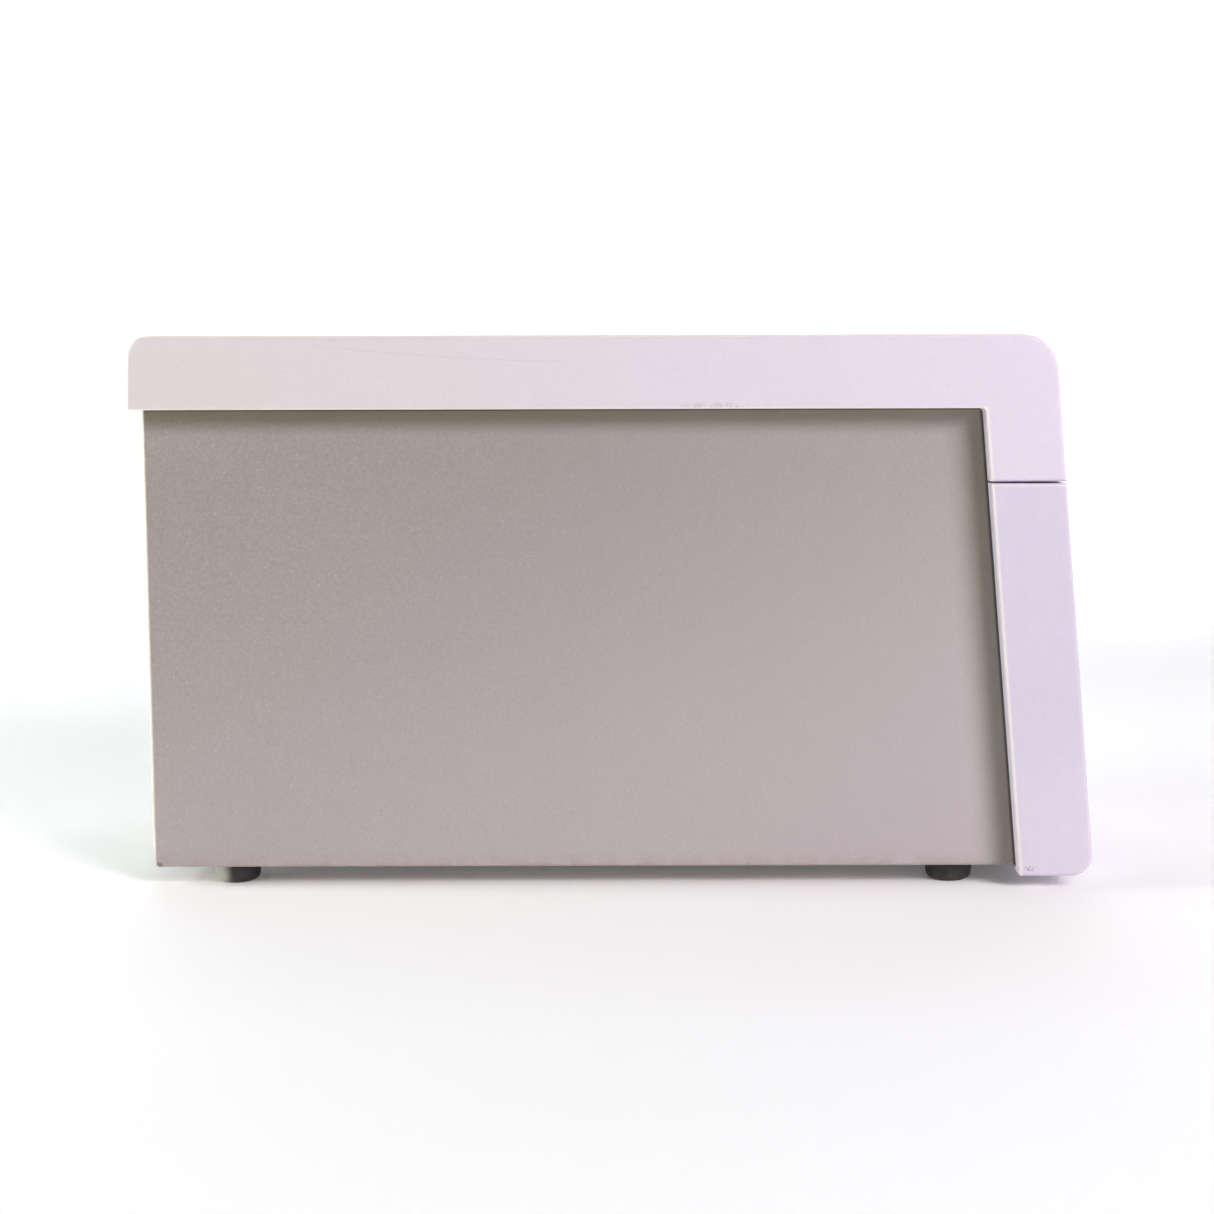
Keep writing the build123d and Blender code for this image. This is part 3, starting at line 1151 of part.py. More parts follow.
def card_bracket():
    """Card's rear bracket with one display port and the screw that holds it."""
    x0, x1 = CABIN_REAR, CABIN_REAR + 1.0
    half = SLOT_W / 2 + 2.2
    top = SLOT_TOP + 7.0
    plate = block(x0, x1, SLOT_Y - half, SLOT_Y + half, BOARD_Z1 + 4.0, top)
    plate += block(x0, BOARD_X0 + 2.0, SLOT_Y - 0.8, SLOT_Y + 0.8, CARD_Z0 + 70, CARD_Z0 + 84)
    mid = CARD_Z0 + 42.0
    port = block(REAR_PLATE_X - 0.4, BOARD_X0 + 14.0, SLOT_Y - 5.0, SLOT_Y + 5.0, mid - 16, mid + 16)
    port -= block(REAR_PLATE_X - 2, REAR_PLATE_X + 1.4, SLOT_Y - 3.9, SLOT_Y + 3.9, mid - 12, mid + 12)
    port += block(REAR_PLATE_X, REAR_PLATE_X + 3, SLOT_Y - 2.6, SLOT_Y + 2.6, mid - 10.4, mid + 10.4)
    port -= block(BOARD_X0 + 1, BOARD_X0 + 20, SLOT_Y - CARD_T / 2, SLOT_Y + 6, mid - 20, mid + 20)
    plate -= rod((x0 - 1, SLOT_Y, SLOT_TOP + 3.0), (x1 + 1, SLOT_Y, SLOT_TOP + 3.0), SCREW_R)
    bolt = screw(facing(REAR_PLATE_X, SLOT_Y, SLOT_TOP + 3.0, (-1, 0, 0)), 5.0)
    return [plate + port, bolt]


# ---- Fans -----------------------------------------------------------------
FAN_SHAFT_R, SHAFT_FIT = 1.5, 0.05
FAN_BLADES = 7
FAN_TIP_GAP = 1.0


def fan_frame(place, size, thick):
    """Square fan frame with a round duct, four struts and a fixed shaft. Local z is the air's way out."""
    bore = size / 2 - 2.0
    hub = 0.2 * size
    frame = Box(size, size, thick)
    frame = fillet(frame.edges().filter_by(Axis.Z), 3.0)
    frame -= Cylinder(bore, thick + 1)
    offset = size * FAN_PITCH_RATIO / 2
    for x in (-offset, offset):
        for y in (-offset, offset):
            frame -= Pos(x, y, 0) * Cylinder(SCREW_R + SCREW_FIT, thick + 1)
            frame -= Pos(x, y, 0) * Box(9.0, 9.0, thick - 8.0)
    end = thick / 2
    frame += Pos(0, 0, end - 1.0) * Cylinder(hub, 2.0)
    for angle in (45, 135):
        strut = Rot(0, 0, angle) * Pos(0, 0, end - 1.0) * Box(2 * bore + 2, 2.4, 2.0)
        frame += strut & Pos(0, 0, end - 1.0) * Cylinder(bore + 0.6, 2.0)
    length = thick - 6.0
    frame += Pos(0, 0, end - 1.5 - length / 2) * Cylinder(FAN_SHAFT_R, length)
    return place * frame


def fan_rotor(place, size, thick):
    """Cup hub with raked blades, running on the frame's shaft."""
    hub = 0.2 * size
    tip = size / 2 - 2.0 - FAN_TIP_GAP
    back, front = thick / 2 - 2.0 - FIT, -thick / 2 + 1.0
    high = back - front
    middle = (back + front) / 2
    rotor = Pos(0, 0, middle) * Cylinder(hub, high)
    rotor = fillet(rotor.edges().sort_by(Axis.Z)[0], 1.2)
    ring = Pos(0, 0, middle) * (Cylinder(tip, high - 1.0) - Cylinder(hub - 0.8, high))
    span = tip - hub + 4.0
    for k in range(FAN_BLADES):
        blade = Pos(hub + span / 2 - 2.0, 0, middle) * Rot(38, 0, 0) * Box(span, high * 1.5, 1.3)
        rotor += Rot(0, 0, 360.0 / FAN_BLADES * k) * blade & ring
    bore_end = front + 2.5
    rotor -= Pos(0, 0, (bore_end + thick / 2) / 2) * Cylinder(FAN_SHAFT_R + SHAFT_FIT, thick / 2 - bore_end)
    return place * rotor


REAR_FAN_PLACE = Plane(
    origin=(CABIN_REAR + REAR_FAN_T / 2, REAR_FAN_Y, REAR_FAN_Z), x_dir=(0, 1, 0), z_dir=(-1, 0, 0)
)
CPU_FAN_PLACE = Plane(origin=(SOCKET_X, SOCKET_Y, CPU_FAN_Z), x_dir=(1, 0, 0), z_dir=(0, 0, -1))


def rear_fan_screws():
    offset = REAR_FAN * FAN_PITCH_RATIO / 2
    return [
        screw(facing(REAR_PLATE_X, REAR_FAN_Y + dy, REAR_FAN_Z + dz, (-1, 0, 0)), 10.0)
        for dy in (-offset, offset)
        for dz in (-offset, offset)
    ]


# ---- Power supply ---------------------------------------------------------
PSU_T = 0.8
PSU_MID = (PSU_Z0 + PSU_Z1) / 2
PSU_FAN_Y = -26.0
PSU_FAN_PLACE = Plane(
    origin=(PSU_X0 + PSU_T + REAR_FAN_T / 2, PSU_FAN_Y, PSU_MID), x_dir=(0, 1, 0), z_dir=(-1, 0, 0)
)
FAN_SCREW_AT = REAR_FAN * FAN_PITCH_RATIO / 2
PSU_FAN_SCREWS = [
    (y, z)
    for y in (PSU_FAN_Y - FAN_SCREW_AT, PSU_FAN_Y + FAN_SCREW_AT)
    for z in (PSU_MID - FAN_SCREW_AT, PSU_MID + FAN_SCREW_AT)
]
GUARD_WIRE_R = 0.9
INLET_Y, INLET_Z, INLET_W, INLET_H = 46.0, PSU_MID - 20.0, 30.0, 22.0
INLET_MOUTH_W, INLET_MOUTH_H, INLET_DEPTH = 24.4, 16.6, 15.0
ROCKER_Y, ROCKER_Z, ROCKER_W, ROCKER_H = 46.0, PSU_MID + 16.0, 21.0, 15.0
ROCKER_TILT = 7.0
PSU_CABLE_Y, PSU_CABLE_Z, PSU_CABLE_R = 44.0, PSU_Z0 + 16.0, 7.0


def psu_case():
    """The supply's case in two folded pieces: a tray with both end walls, and a cover with both sides."""
    x0, x1, half = PSU_X0, PSU_X1, PSU_W / 2
    inner, ceiling = half - PSU_T, PSU_Z1 - PSU_T
    floor = block(x0, x1, -inner, inner, PSU_Z0, PSU_Z0 + PSU_T)
    ends = [block(x, x + PSU_T, -inner, inner, PSU_Z0, ceiling) for x in (x0, x1 - PSU_T)]
    tray = joined([floor] + ends)
    lid = block(x0, x1, -half, half, ceiling, PSU_Z1)
    cover = joined([lid] + both_sides(block(x0, x1, -half, -inner, PSU_Z0, PSU_Z1)))
    wall0, wall1 = x0 - 1, x0 + PSU_T + 1
    tray -= rod((wall0, PSU_FAN_Y, PSU_MID), (wall1, PSU_FAN_Y, PSU_MID), REAR_FAN / 2 - 3.0)
    for y, z in PSU_FAN_SCREWS:
        tray -= rod((wall0, y, z), (wall1, y, z), SCREW_R + SCREW_FIT)
    wide, high = INLET_W / 2 - 2.0, INLET_H / 2 - 1.5
    tray -= block(wall0, wall1, INLET_Y - wide, INLET_Y + wide, INLET_Z - high, INLET_Z + high)
    wide, high = ROCKER_W / 2, ROCKER_H / 2
    tray -= block(wall0, wall1, ROCKER_Y - wide, ROCKER_Y + wide, ROCKER_Z - high, ROCKER_Z + high)
    for k in range(9):
        start = Plane(origin=(x1 - 3, 11.0 * k - 60.0, PSU_MID + 4), x_dir=(0, 0, 1), z_dir=(1, 0, 0))
        tray -= extrude(start * SlotOverall(56.0, 4.0), amount=5)
    end = (x1 + 1, PSU_CABLE_Y, PSU_CABLE_Z)
    tray -= rod((x1 - 3, PSU_CABLE_Y, PSU_CABLE_Z), end, PSU_CABLE_R + 1.5)
    return [tray, cover]


def psu_guard():
    """Wire finger guard over the supply's fan: rings welded on two crossed spokes with eyes."""
    spoke_x = PSU_X0 - GUARD_WIRE_R - 0.1
    ring_x = spoke_x - 1.3 * GUARD_WIRE_R
    place = Plane(origin=(ring_x, PSU_FAN_Y, PSU_MID), z_dir=(1, 0, 0))
    wires = [place * Torus(radius, GUARD_WIRE_R) for radius in (10.0, 19.0, 28.0, 36.5)]
    for tilt in (-1, 1):
        start = (spoke_x, PSU_FAN_Y - FAN_SCREW_AT, PSU_MID - tilt * FAN_SCREW_AT)
        end = (spoke_x, PSU_FAN_Y + FAN_SCREW_AT, PSU_MID + tilt * FAN_SCREW_AT)
        wires.append(rod(start, end, GUARD_WIRE_R))
    wires += [rod((PSU_X0 - 1.6, y, z), (PSU_X0, y, z), 3.2) for y, z in PSU_FAN_SCREWS]
    guard = joined(wires)
    for y, z in PSU_FAN_SCREWS:
        guard -= rod((PSU_X0 - 4, y, z), (PSU_X0 + 1, y, z), SCREW_R + SCREW_FIT)
        guard -= rod((PSU_X0 - 4, y, z), (PSU_X0 - 1.6, y, z), SCREW_HEAD_R + SCREW_FIT)
    return guard


def psu_screws():
    return [screw(facing(PSU_X0 - 1.6, y, z, (-1, 0, 0)), 8.0) for y, z in PSU_FAN_SCREWS]


def psu_inlet():
    """Three-pin mains inlet, flanged on the supply's rear wall."""
    y0, z0 = INLET_Y, INLET_Z
    half, rise = INLET_W / 2, INLET_H / 2
    flange = block(PSU_X0 - 2.0, PSU_X0, y0 - half, y0 + half, z0 - rise, z0 + rise)
    flange = fillet(flange.edges().filter_by(Axis.X), 2.0)
    wide, high = INLET_W / 2 - 2.3, INLET_H / 2 - 1.8
    back = PSU_X0 + INLET_DEPTH + 2.0
    body = flange + block(PSU_X0 - 1, back, y0 - wide, y0 + wide, z0 - high, z0 + high)
    half, rise = INLET_MOUTH_W / 2, INLET_MOUTH_H / 2
    mouth = block(PSU_X0 - 3, PSU_X0 + INLET_DEPTH, y0 - half, y0 + half, z0 - rise, z0 + rise)
    top = mouth.edges().filter_by(Axis.X).group_by(Axis.Z)[-1]
    body -= chamfer(top, 4.2)
    for y, z in ((y0 - 7.0, z0 - 1.6), (y0, z0 + 2.4), (y0 + 7.0, z0 - 1.6)):
        body += block(PSU_X0 + 2.0, PSU_X0 + INLET_DEPTH + 1, y - 1, y + 1, z - 2, z + 2)
    return body


def rocker_frame():
    """Bezel and body of the mains switch, with the rocker's pivot pin."""
    y0, z0 = ROCKER_Y, ROCKER_Z
    wide, high = ROCKER_W / 2, ROCKER_H / 2
    body = block(PSU_X0 - 2.0, PSU_X0, y0 - wide - 1.6, y0 + wide + 1.6, z0 - high - 1.6, z0 + high + 1.6)
    body += block(PSU_X0 - 1, PSU_X0 + 14, y0 - wide, y0 + wide, z0 - high, z0 + high)
    room_y, room_z = wide - 1.6, high - 1.4
    body -= block(PSU_X0 - 3, PSU_X0 + 9, y0 - room_y, y0 + room_y, z0 - room_z, z0 + room_z)
    return body + rod((PSU_X0 + 1.5, y0, z0 - high), (PSU_X0 + 1.5, y0, z0 + high), 1.2)


def rocker():
    """Two-position key, tipped to the off side at rest."""
    half, high = ROCKER_W / 2 - 2.6, ROCKER_H / 2 - 1.4 - 0.25
    points = [(-half, 3.2), (0.0, 1.6), (half, 3.2), (half - 0.6, -2.6), (-half + 0.6, -2.6)]
    face = make_face(Polyline(*points, close=True))
    key = extrude(face, amount=high, both=True) + Cylinder(3.2, 2 * high)
    key -= Cylinder(1.2 + SHAFT_FIT, 4 * high)
    place = Plane(origin=(PSU_X0 + 1.5, ROCKER_Y, ROCKER_Z), x_dir=(0, 1, 0), z_dir=(0, 0, 1))
    return place * Rot(0, 0, -ROCKER_TILT) * key


# ---- Cables inside the case -----------------------------------------------
RIBBON_W, RIBBON_T = 40.0, 1.2
RIBBON_PLUG = 44.0
RIBBON_BEND = 9.0


def round_cable(points, bend, radius):
    """A round cable along a bent line."""
    path = FilletPolyline(*points, radius=bend)
    start = Plane(origin=path @ 0, z_dir=path % 0)
    return sweep(start * Circle(radius), path=path)


def power_cable():
    """Bundle from the supply down to the board's power plug, with its connector."""
    y1 = POWER_PLUG_Y
    top = BOARD_Z1 + 12.0
    out = PSU_X1 + 20.0
    points = [
        (PSU_X1 - 2.0, PSU_CABLE_Y, PSU_CABLE_Z),
        (out, PSU_CABLE_Y, PSU_CABLE_Z),
        (out, y1, PSU_CABLE_Z - 50.0),
        (POWER_PLUG_X, y1, PSU_CABLE_Z - 80.0),
        (POWER_PLUG_X, y1, top + 9.0),
    ]
    plug = block(POWER_PLUG_X - 4, POWER_PLUG_X + 4, y1 - 25, y1 + 25, top, top + 11.0)
    return [round_cable(points, 17.0, PSU_CABLE_R) + plug]


def ribbon(y, drive_x, drive_z, reach, bow_x):
    """A flat cable from a drive's rear down to the board."""
    top = BOARD_Z1 + 8.0
    points = [
        (RIBBON_X, top + 4.0),
        (RIBBON_X, top + 24.0),
        (bow_x, drive_z - reach),
        (bow_x, drive_z),
        (drive_x - 2.0, drive_z),
    ]
    line = FilletPolyline(*[(p[0], p[1]) for p in points], radius=RIBBON_BEND)
    flat = trace(line, RIBBON_T)
    half = RIBBON_W / 2
    band = extrude(Pos(0, y - half, 0) * (Plane.XZ * flat), amount=RIBBON_W, dir=(0, 1, 0))
    plug = RIBBON_PLUG / 2
    board_plug = block(RIBBON_X - 3, RIBBON_X + 3, y - plug, y + plug, top, top + 7.0)
    drive_plug = block(drive_x - 6.0, drive_x, y - plug, y + plug, drive_z - 3, drive_z + 3)
    return joined([band, board_plug, drive_plug])


# ---- Front ports ----------------------------------------------------------
PORT_BOARD_DEPTH = PORT_POCKET + 8.0


def front_ports():
    """Two sockets, two jacks and their board behind the flap's pocket."""
    made = []
    back = PORT_BOARD_DEPTH
    for k in (-1.5, -0.5):
        y = FLAP_Y + k * PORT_PITCH + 4
        wide, high = PORT_W - 2 * FIT, PORT_H - 2 * FIT
        shell = front_box(y, CONTROL_Z, wide, high, PORT_POCKET - 1.0, back)
        shell -= front_box(y, CONTROL_Z, wide - 1.0, high - 1.0, PORT_POCKET - 2.0, back - 1.0)
        shell += front_box(y, CONTROL_Z, wide - 2.6, 1.6, PORT_POCKET, back)
        made.append(shell)
    for k in (0.8, 1.5):
        jack = front_rod(FLAP_Y, CONTROL_Z, JACK_R - FIT, PORT_POCKET - 0.8, back, shift=(k * 15.0, 0))
        jack -= front_rod(FLAP_Y, CONTROL_Z, 1.8, PORT_POCKET - 2.0, back - 1.0, shift=(k * 15.0, 0))
        made.append(jack)
    board = front_box(FLAP_Y, CONTROL_Z, FLAP_W, 18.0, back, back + 1.6)
    return made + [board]


# ---- Nodes ----------------------------------------------------------------
os.makedirs("parts", exist_ok=True)

left = left_panel()
save("hood", hood())
save("hood_catch_studs", *catch_studs())
save("hood_grommets", *catch_grommets())
save("side_panel_left", left)
save("side_panel_right", mirror(left, about=Plane.XZ))
save("base_plate", base_plate())
save("rear_plate", rear_plate())
save("front_plate", front_plate())
save("supply_shelf", supply_shelf())
save("drive_cage", drive_cage())
save("foot_rear_left", foot(FOOT_X[0], -FOOT_Y))
save("foot_rear_right", foot(FOOT_X[0], FOOT_Y))
save("foot_front_left", foot(FOOT_X[1], -FOOT_Y))
save("foot_front_right", foot(FOOT_X[1], FOOT_Y))
save("foot_screws", *foot_screws())
save("case_screws", *case_screws(), *bezel_screws())

save("front_bezel", front_bezel())
save("power_button", power_button())
save("reset_button", reset_button())
save("status_lights", *status_lights(), floppy_light())
save("switch_board", *switch_board())
save("port_flap", port_flap())
save("front_ports", *front_ports())

save("optical_drive_case", optical_case())
save("optical_drive_face", optical_face())
save("optical_drive_deck", *optical_deck())
save("disc_tray", disc_tray())
save("disc_tray_front", disc_tray_front())
save("eject_button", face_button(DRIVE_FACE + 0.8, EJECT_Y, EJECT_Z, EJECT_W, EJECT_H, DRIVE_X1))
save("floppy_drive_case", floppy_case())
save("floppy_drive_face", floppy_face())
save("floppy_shutter", floppy_shutter())
save(
    "floppy_eject_button",
    face_button(FLOPPY_FACE + FEJECT_PROUD, FEJECT_Y, FEJECT_Z, FEJECT_W, FEJECT_H, FLOPPY_X1),
)
save("hard_disk", *hard_disk())

save("motherboard", motherboard())
save("board_standoffs", *board_standoffs())
save("board_parts", *board_parts())
save("io_shield", io_shield())
save("rear_ports", *rear_ports())
save("cpu_socket", cpu_socket())
save("processor", processor())
save("heatsink", heatsink())
save("cpu_fan_frame", fan_frame(CPU_FAN_PLACE, CPU_FAN, CPU_FAN_T))
save("cpu_fan_rotor", fan_rotor(CPU_FAN_PLACE, CPU_FAN, CPU_FAN_T))
save("board_slots", *memory_slots(), card_slot())
save("memory_modules", *memory_modules())
save("expansion_card", expansion_card())
save("card_bracket", *card_bracket())

save("rear_fan_frame", fan_frame(REAR_FAN_PLACE, REAR_FAN, REAR_FAN_T), *rear_fan_screws())
save("rear_fan_rotor", fan_rotor(REAR_FAN_PLACE, REAR_FAN, REAR_FAN_T))
save("psu_case", *psu_case())
save("psu_guard", psu_guard(), *psu_screws())
save("psu_fan_frame", fan_frame(PSU_FAN_PLACE, REAR_FAN, REAR_FAN_T))
save("psu_fan_rotor", fan_rotor(PSU_FAN_PLACE, REAR_FAN, REAR_FAN_T))
save("psu_inlet", psu_inlet())
save("psu_switch_frame", rocker_frame())
save("psu_rocker", rocker())
save("power_cable", *power_cable())
save(
    "drive_cables",
    ribbon(RIBBON_Y[0], DISK_X0, DISK_Z0 + 4.8, 20.0, -10.0),
    ribbon(RIBBON_Y[1], DRIVE_X0, DRIVE_Z0 + 11.0, 60.0, 0.0),
)
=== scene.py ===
import bmesh
import bpy
import json
import math
from mathutils import Matrix, Vector


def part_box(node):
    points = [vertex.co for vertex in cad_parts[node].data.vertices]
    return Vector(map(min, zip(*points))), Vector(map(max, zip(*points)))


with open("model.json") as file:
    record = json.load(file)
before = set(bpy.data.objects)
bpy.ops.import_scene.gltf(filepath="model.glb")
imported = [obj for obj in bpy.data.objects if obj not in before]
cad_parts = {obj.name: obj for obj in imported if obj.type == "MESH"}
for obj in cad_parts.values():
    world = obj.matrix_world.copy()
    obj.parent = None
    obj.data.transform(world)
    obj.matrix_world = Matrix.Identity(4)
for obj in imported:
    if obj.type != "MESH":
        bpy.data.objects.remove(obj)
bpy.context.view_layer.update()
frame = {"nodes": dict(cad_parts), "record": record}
SCENE = bpy.context.scene

# Lines that the finishes follow, in metres
SKIRT = 0.226           # lower edge of the hood's skirt
SEAM_TOP = 0.1918       # lower edge of the hood's nose
SIDE_FACE = 0.105       # outer faces of hood and bezel
BAND_FOOT = 0.1915      # where the band's inner edge would meet the floor
BAND_LEAN = 0.0919      # how far that edge leans back for each metre up
HOOD_TOP = 0.260        # top of the hood
WEB_FACE = 0.095        # outer faces of the steel sides
FOOT_LINE = 0.080       # the feet's middle, to either side
REAR_FOOT = -0.1824     # the rear feet's middle
steel_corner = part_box("side_panel_left")[0]
STEEL_REAR, STEEL_FOOT = steel_corner.x, steel_corner.z

# Marks of use on the sides, as x and z in metres
SKIRT_SCUFF = (0.047, SKIRT + 0.0014)
CORNER_RUB = (0.1955, 0.0100)
SCRATCH_FROM, SCRATCH_TOP, SCRATCH_MID = -0.140, 0.2555, -0.078
CORNER_STAIN = (STEEL_REAR + 0.003, STEEL_FOOT + 0.0012)

# The ribbon cable's pitch and half width, and the cable sleeve's weave
RIBBON_PITCH, RIBBON_EDGE = 0.00127, 0.0436
WEAVE_PITCH = 0.0016
TRACK_PITCHES = (0.0021, 0.0025)


# ---- Shader arithmetic ----------------------------------------------------
class Signal:
    """An output inside a finish. Arithmetic on it adds Math nodes."""

    def __init__(self, finish, socket):
        self.finish = finish
        self.socket = socket

    def math(self, operation, *values):
        return self.finish.node("ShaderNodeMath", {"operation": operation}, dict(enumerate(values)))

    def __add__(self, other):
        return self.math("ADD", self, other)

    __radd__ = __add__

    def __sub__(self, other):
        return self.math("SUBTRACT", self, other)

    def __rsub__(self, other):
        return self.math("SUBTRACT", other, self)

    def __mul__(self, other):
        return self.math("MULTIPLY", self, other)

    __rmul__ = __mul__

    def __truediv__(self, other):
        return self.math("DIVIDE", self, other)

    def __pow__(self, other):
        return self.math("POWER", self, other)

    def __abs__(self):
        return self.math("ABSOLUTE", self)

    def least(self, other):
        return self.math("MINIMUM", self, other)

    def most(self, other):
        return self.math("MAXIMUM", self, other)

    def wrap(self, period):
        """The remainder, always positive."""
        return self.math("FLOORED_MODULO", self, period)

    def near(self, centre, outer, inner):
        """1 within inner of centre, falling to 0 at outer."""
        return abs(self - centre).step(outer, inner)

    def step(self, low, high):
        """A soft rise from 0 at low to 1 at high. low above high makes it a fall."""
        settings = {"interpolation_type": "SMOOTHSTEP"}
        inputs = {"Value": self, "From Min": low, "From Max": high}
        return self.finish.node("ShaderNodeMapRange", settings, inputs)


def tint(red, green, blue):
    """A colour from 0 to 255 steps, as the shader's linear values."""
    steps = (red / 255, green / 255, blue / 255)
    linear = [s / 12.92 if s <= 0.04045 else ((s + 0.055) / 1.055) ** 2.4 for s in steps]
    return (*linear, 1.0)


class Finish:
    """One material: a Principled shader and the nodes that feed it."""

    def __init__(self, name, colour, roughness, metallic=0.0, **constants):
        self.material = bpy.data.materials.new(name)
        self.material.use_nodes = True
        self.tree = self.material.node_tree
        self.shader = self.tree.nodes["Principled BSDF"]
        self.set("Base Color", colour)
        self.set("Roughness", roughness)
        self.set("Metallic", metallic)
        for socket, value in constants.items():
            self.set(socket.replace("_", " "), value)
        self.place = self.node("ShaderNodeTexCoord", output="Object")

    def feed(self, socket, value):
        if isinstance(value, Signal):
            self.tree.links.new(value.socket, socket)
        else:
            socket.default_value = value

    def set(self, socket, value):
        self.feed(self.shader.inputs[socket], value)

    def node(self, kind, settings=None, inputs=None, output=0):
        """Adds a node: settings first, then the values or links of its sockets."""
        made = self.tree.nodes.new(kind)
        for name, value in (settings or {}).items():
            if name == "stops":
                ramp = made.color_ramp.elements
                while len(ramp) < len(value):
                    ramp.new(0.5)
                for element, (at, colour) in zip(ramp, value):
                    element.position = at
                    element.color = colour
            else:
                setattr(made, name, value)
        for name, value in (inputs or {}).items():
            self.feed(made.inputs[name], value)
        return Signal(self, made.outputs[output])

    def axes(self):
        """The three object coordinates, in metres."""
        return [self.node("ShaderNodeSeparateXYZ", None, {0: self.place}, output=k) for k in range(3)]

    def noise(self, size, detail=2.0, rough=0.5, stretch=(1, 1, 1), output=0):
        """Cloudy noise whose blobs are about this many metres across."""
        at = self.node("ShaderNodeMapping", None, {"Vector": self.place, "Scale": stretch})
        inputs = {"Vector": at, "Scale": 1 / size, "Detail": detail, "Roughness": rough}
        return self.node("ShaderNodeTexNoise", None, inputs, output)

    def cells(self, size, feature="F1", randomness=1.0, output="Distance"):
        settings = {"feature": feature}
        inputs = {"Vector": self.place, "Scale": 1 / size, "Randomness": randomness}
        return self.node("ShaderNodeTexVoronoi", settings, inputs, output)

    def mix(self, factor, first, second):
        settings = {"data_type": "RGBA"}
        return self.node("ShaderNodeMix", settings, {0: factor, 6: first, 7: second}, output=2)

    def bump(self, height, depth, strength=1.0, normal=None):
        """Relief this many metres deep where height runs from 0 to 1."""
        inputs = {"Height": height, "Distance": depth, "Strength": strength}
        if normal is not None:
            inputs["Normal"] = normal
        return self.node("ShaderNodeBump", None, inputs)


# ---- Finishes of the outside ----------------------------------------------
def past_band(x, z):
    """How far a point lies in front of the band's leaning inner edge."""
    return x - BAND_FOOT + z * BAND_LEAN


def moulded_shell():
    """Pale lilac moulded plastic with a fine spark texture, a little yellowed towards the rear."""
    f = Finish("shell_plastic", tint(226, 216, 230), 0.42, Coat_Weight=0.12, Coat_Roughness=0.35)
    x, y, z = f.axes()
    drift = f.noise(0.11, 2)
    age = (x * -2.1 + 0.42 + drift * 0.22).step(0.0, 1.0)
    colour = f.mix(age, tint(229, 219, 236), tint(227, 219, 219))
    on_front = x.step(0.10, 0.12)
    bezel = (z - SEAM_TOP).step(0.0, -0.0004) * on_front * z.step(0.01, 0.09)
    colour = f.mix(bezel * (0.6 + drift * 0.5), colour, tint(216, 210, 228))
    mottle = f.noise(0.004, 3, 0.6)
    colour = f.mix(mottle.step(0.35, 0.75) * 0.10, colour, tint(238, 229, 232))
    blotch = f.noise(0.0016, 2, 0.6)
    colour = f.mix(blotch.step(0.5, 0.8) * 0.12, colour, tint(196, 184, 206))
    speck = f.cells(0.028).step(0.022, 0.012) * f.noise(0.06, 1).step(0.5, 0.62)
    colour = f.mix(speck * 0.55, colour, tint(150, 132, 120))

    # Marks of use on the side
    scuff_x, scuff_z = SKIRT_SCUFF
    scuff = x.near(scuff_x, 0.019, 0.010) * z.near(scuff_z, 0.0020, 0.0006)
    scuff = scuff * f.noise(0.0016, 3, 0.7).step(0.46, 0.66) * (y * -1).step(0.1, 0.1035)
    colour = f.mix(scuff * 0.34, colour, tint(150, 120, 96))
    rub_x, rub_z = CORNER_RUB
    rub = x.near(rub_x, 0.004, 0.0015) * z.near(rub_z, 0.0016, 0.0006)
    rub = rub * f.noise(0.0012, 2, 0.7).step(0.5, 0.6)
    colour = f.mix(rub * 0.6, colour, tint(128, 104, 92))
    along = x - SCRATCH_FROM
    scratch_line = SCRATCH_TOP - along * 0.115 + along * along * 0.42
    scratch = z.near(scratch_line, 0.0006, 0.0002) * x.near(SCRATCH_MID, 0.060, 0.050)
    colour = f.mix(scratch * 0.16, colour, tint(196, 186, 196))

    # Painted highlights along the skirt's lower edge, the band's inner edge, under the seam and along
    # the top edge
    front_of_band = past_band(x, z)
    outside = abs(y).step(SIDE_FACE - 0.004, SIDE_FACE - 0.0015)
    skirt_edge = (z - SKIRT).step(0.0011, 0.0005) * front_of_band.step(0.002, 0.0)
    band_edge = front_of_band.near(0.0006, 0.0009, 0.0005) * z.step(SKIRT, SKIRT - 0.001)
    seam_edge = z.near(SEAM_TOP - 0.0014, 0.0007, 0.0003) * on_front
    top_edge = z.step(HOOD_TOP - 0.0017, HOOD_TOP - 0.0008) * abs(y).step(0.1005, 0.102)
    painted_edge_highlight = skirt_edge.most(band_edge).most(seam_edge * 0.7) * (0.6 + mottle * 0.5) * outside
    painted_edge_highlight = painted_edge_highlight.most(top_edge * 0.8)
    colour = f.mix(painted_edge_highlight * 0.75, colour, tint(246, 240, 230))

    f.set("Base Color", colour)
    f.set("Roughness", 0.38 + drift * 0.08 + mottle * 0.05 + scuff * 0.2 - painted_edge_highlight * 0.08)
    relief = f.bump(f.noise(0.00075, 2, 0.6), 0.00006, 0.6)
    f.set("Normal", f.bump(f.noise(0.03, 1), 0.0003, 0.25, relief))
    return f.material


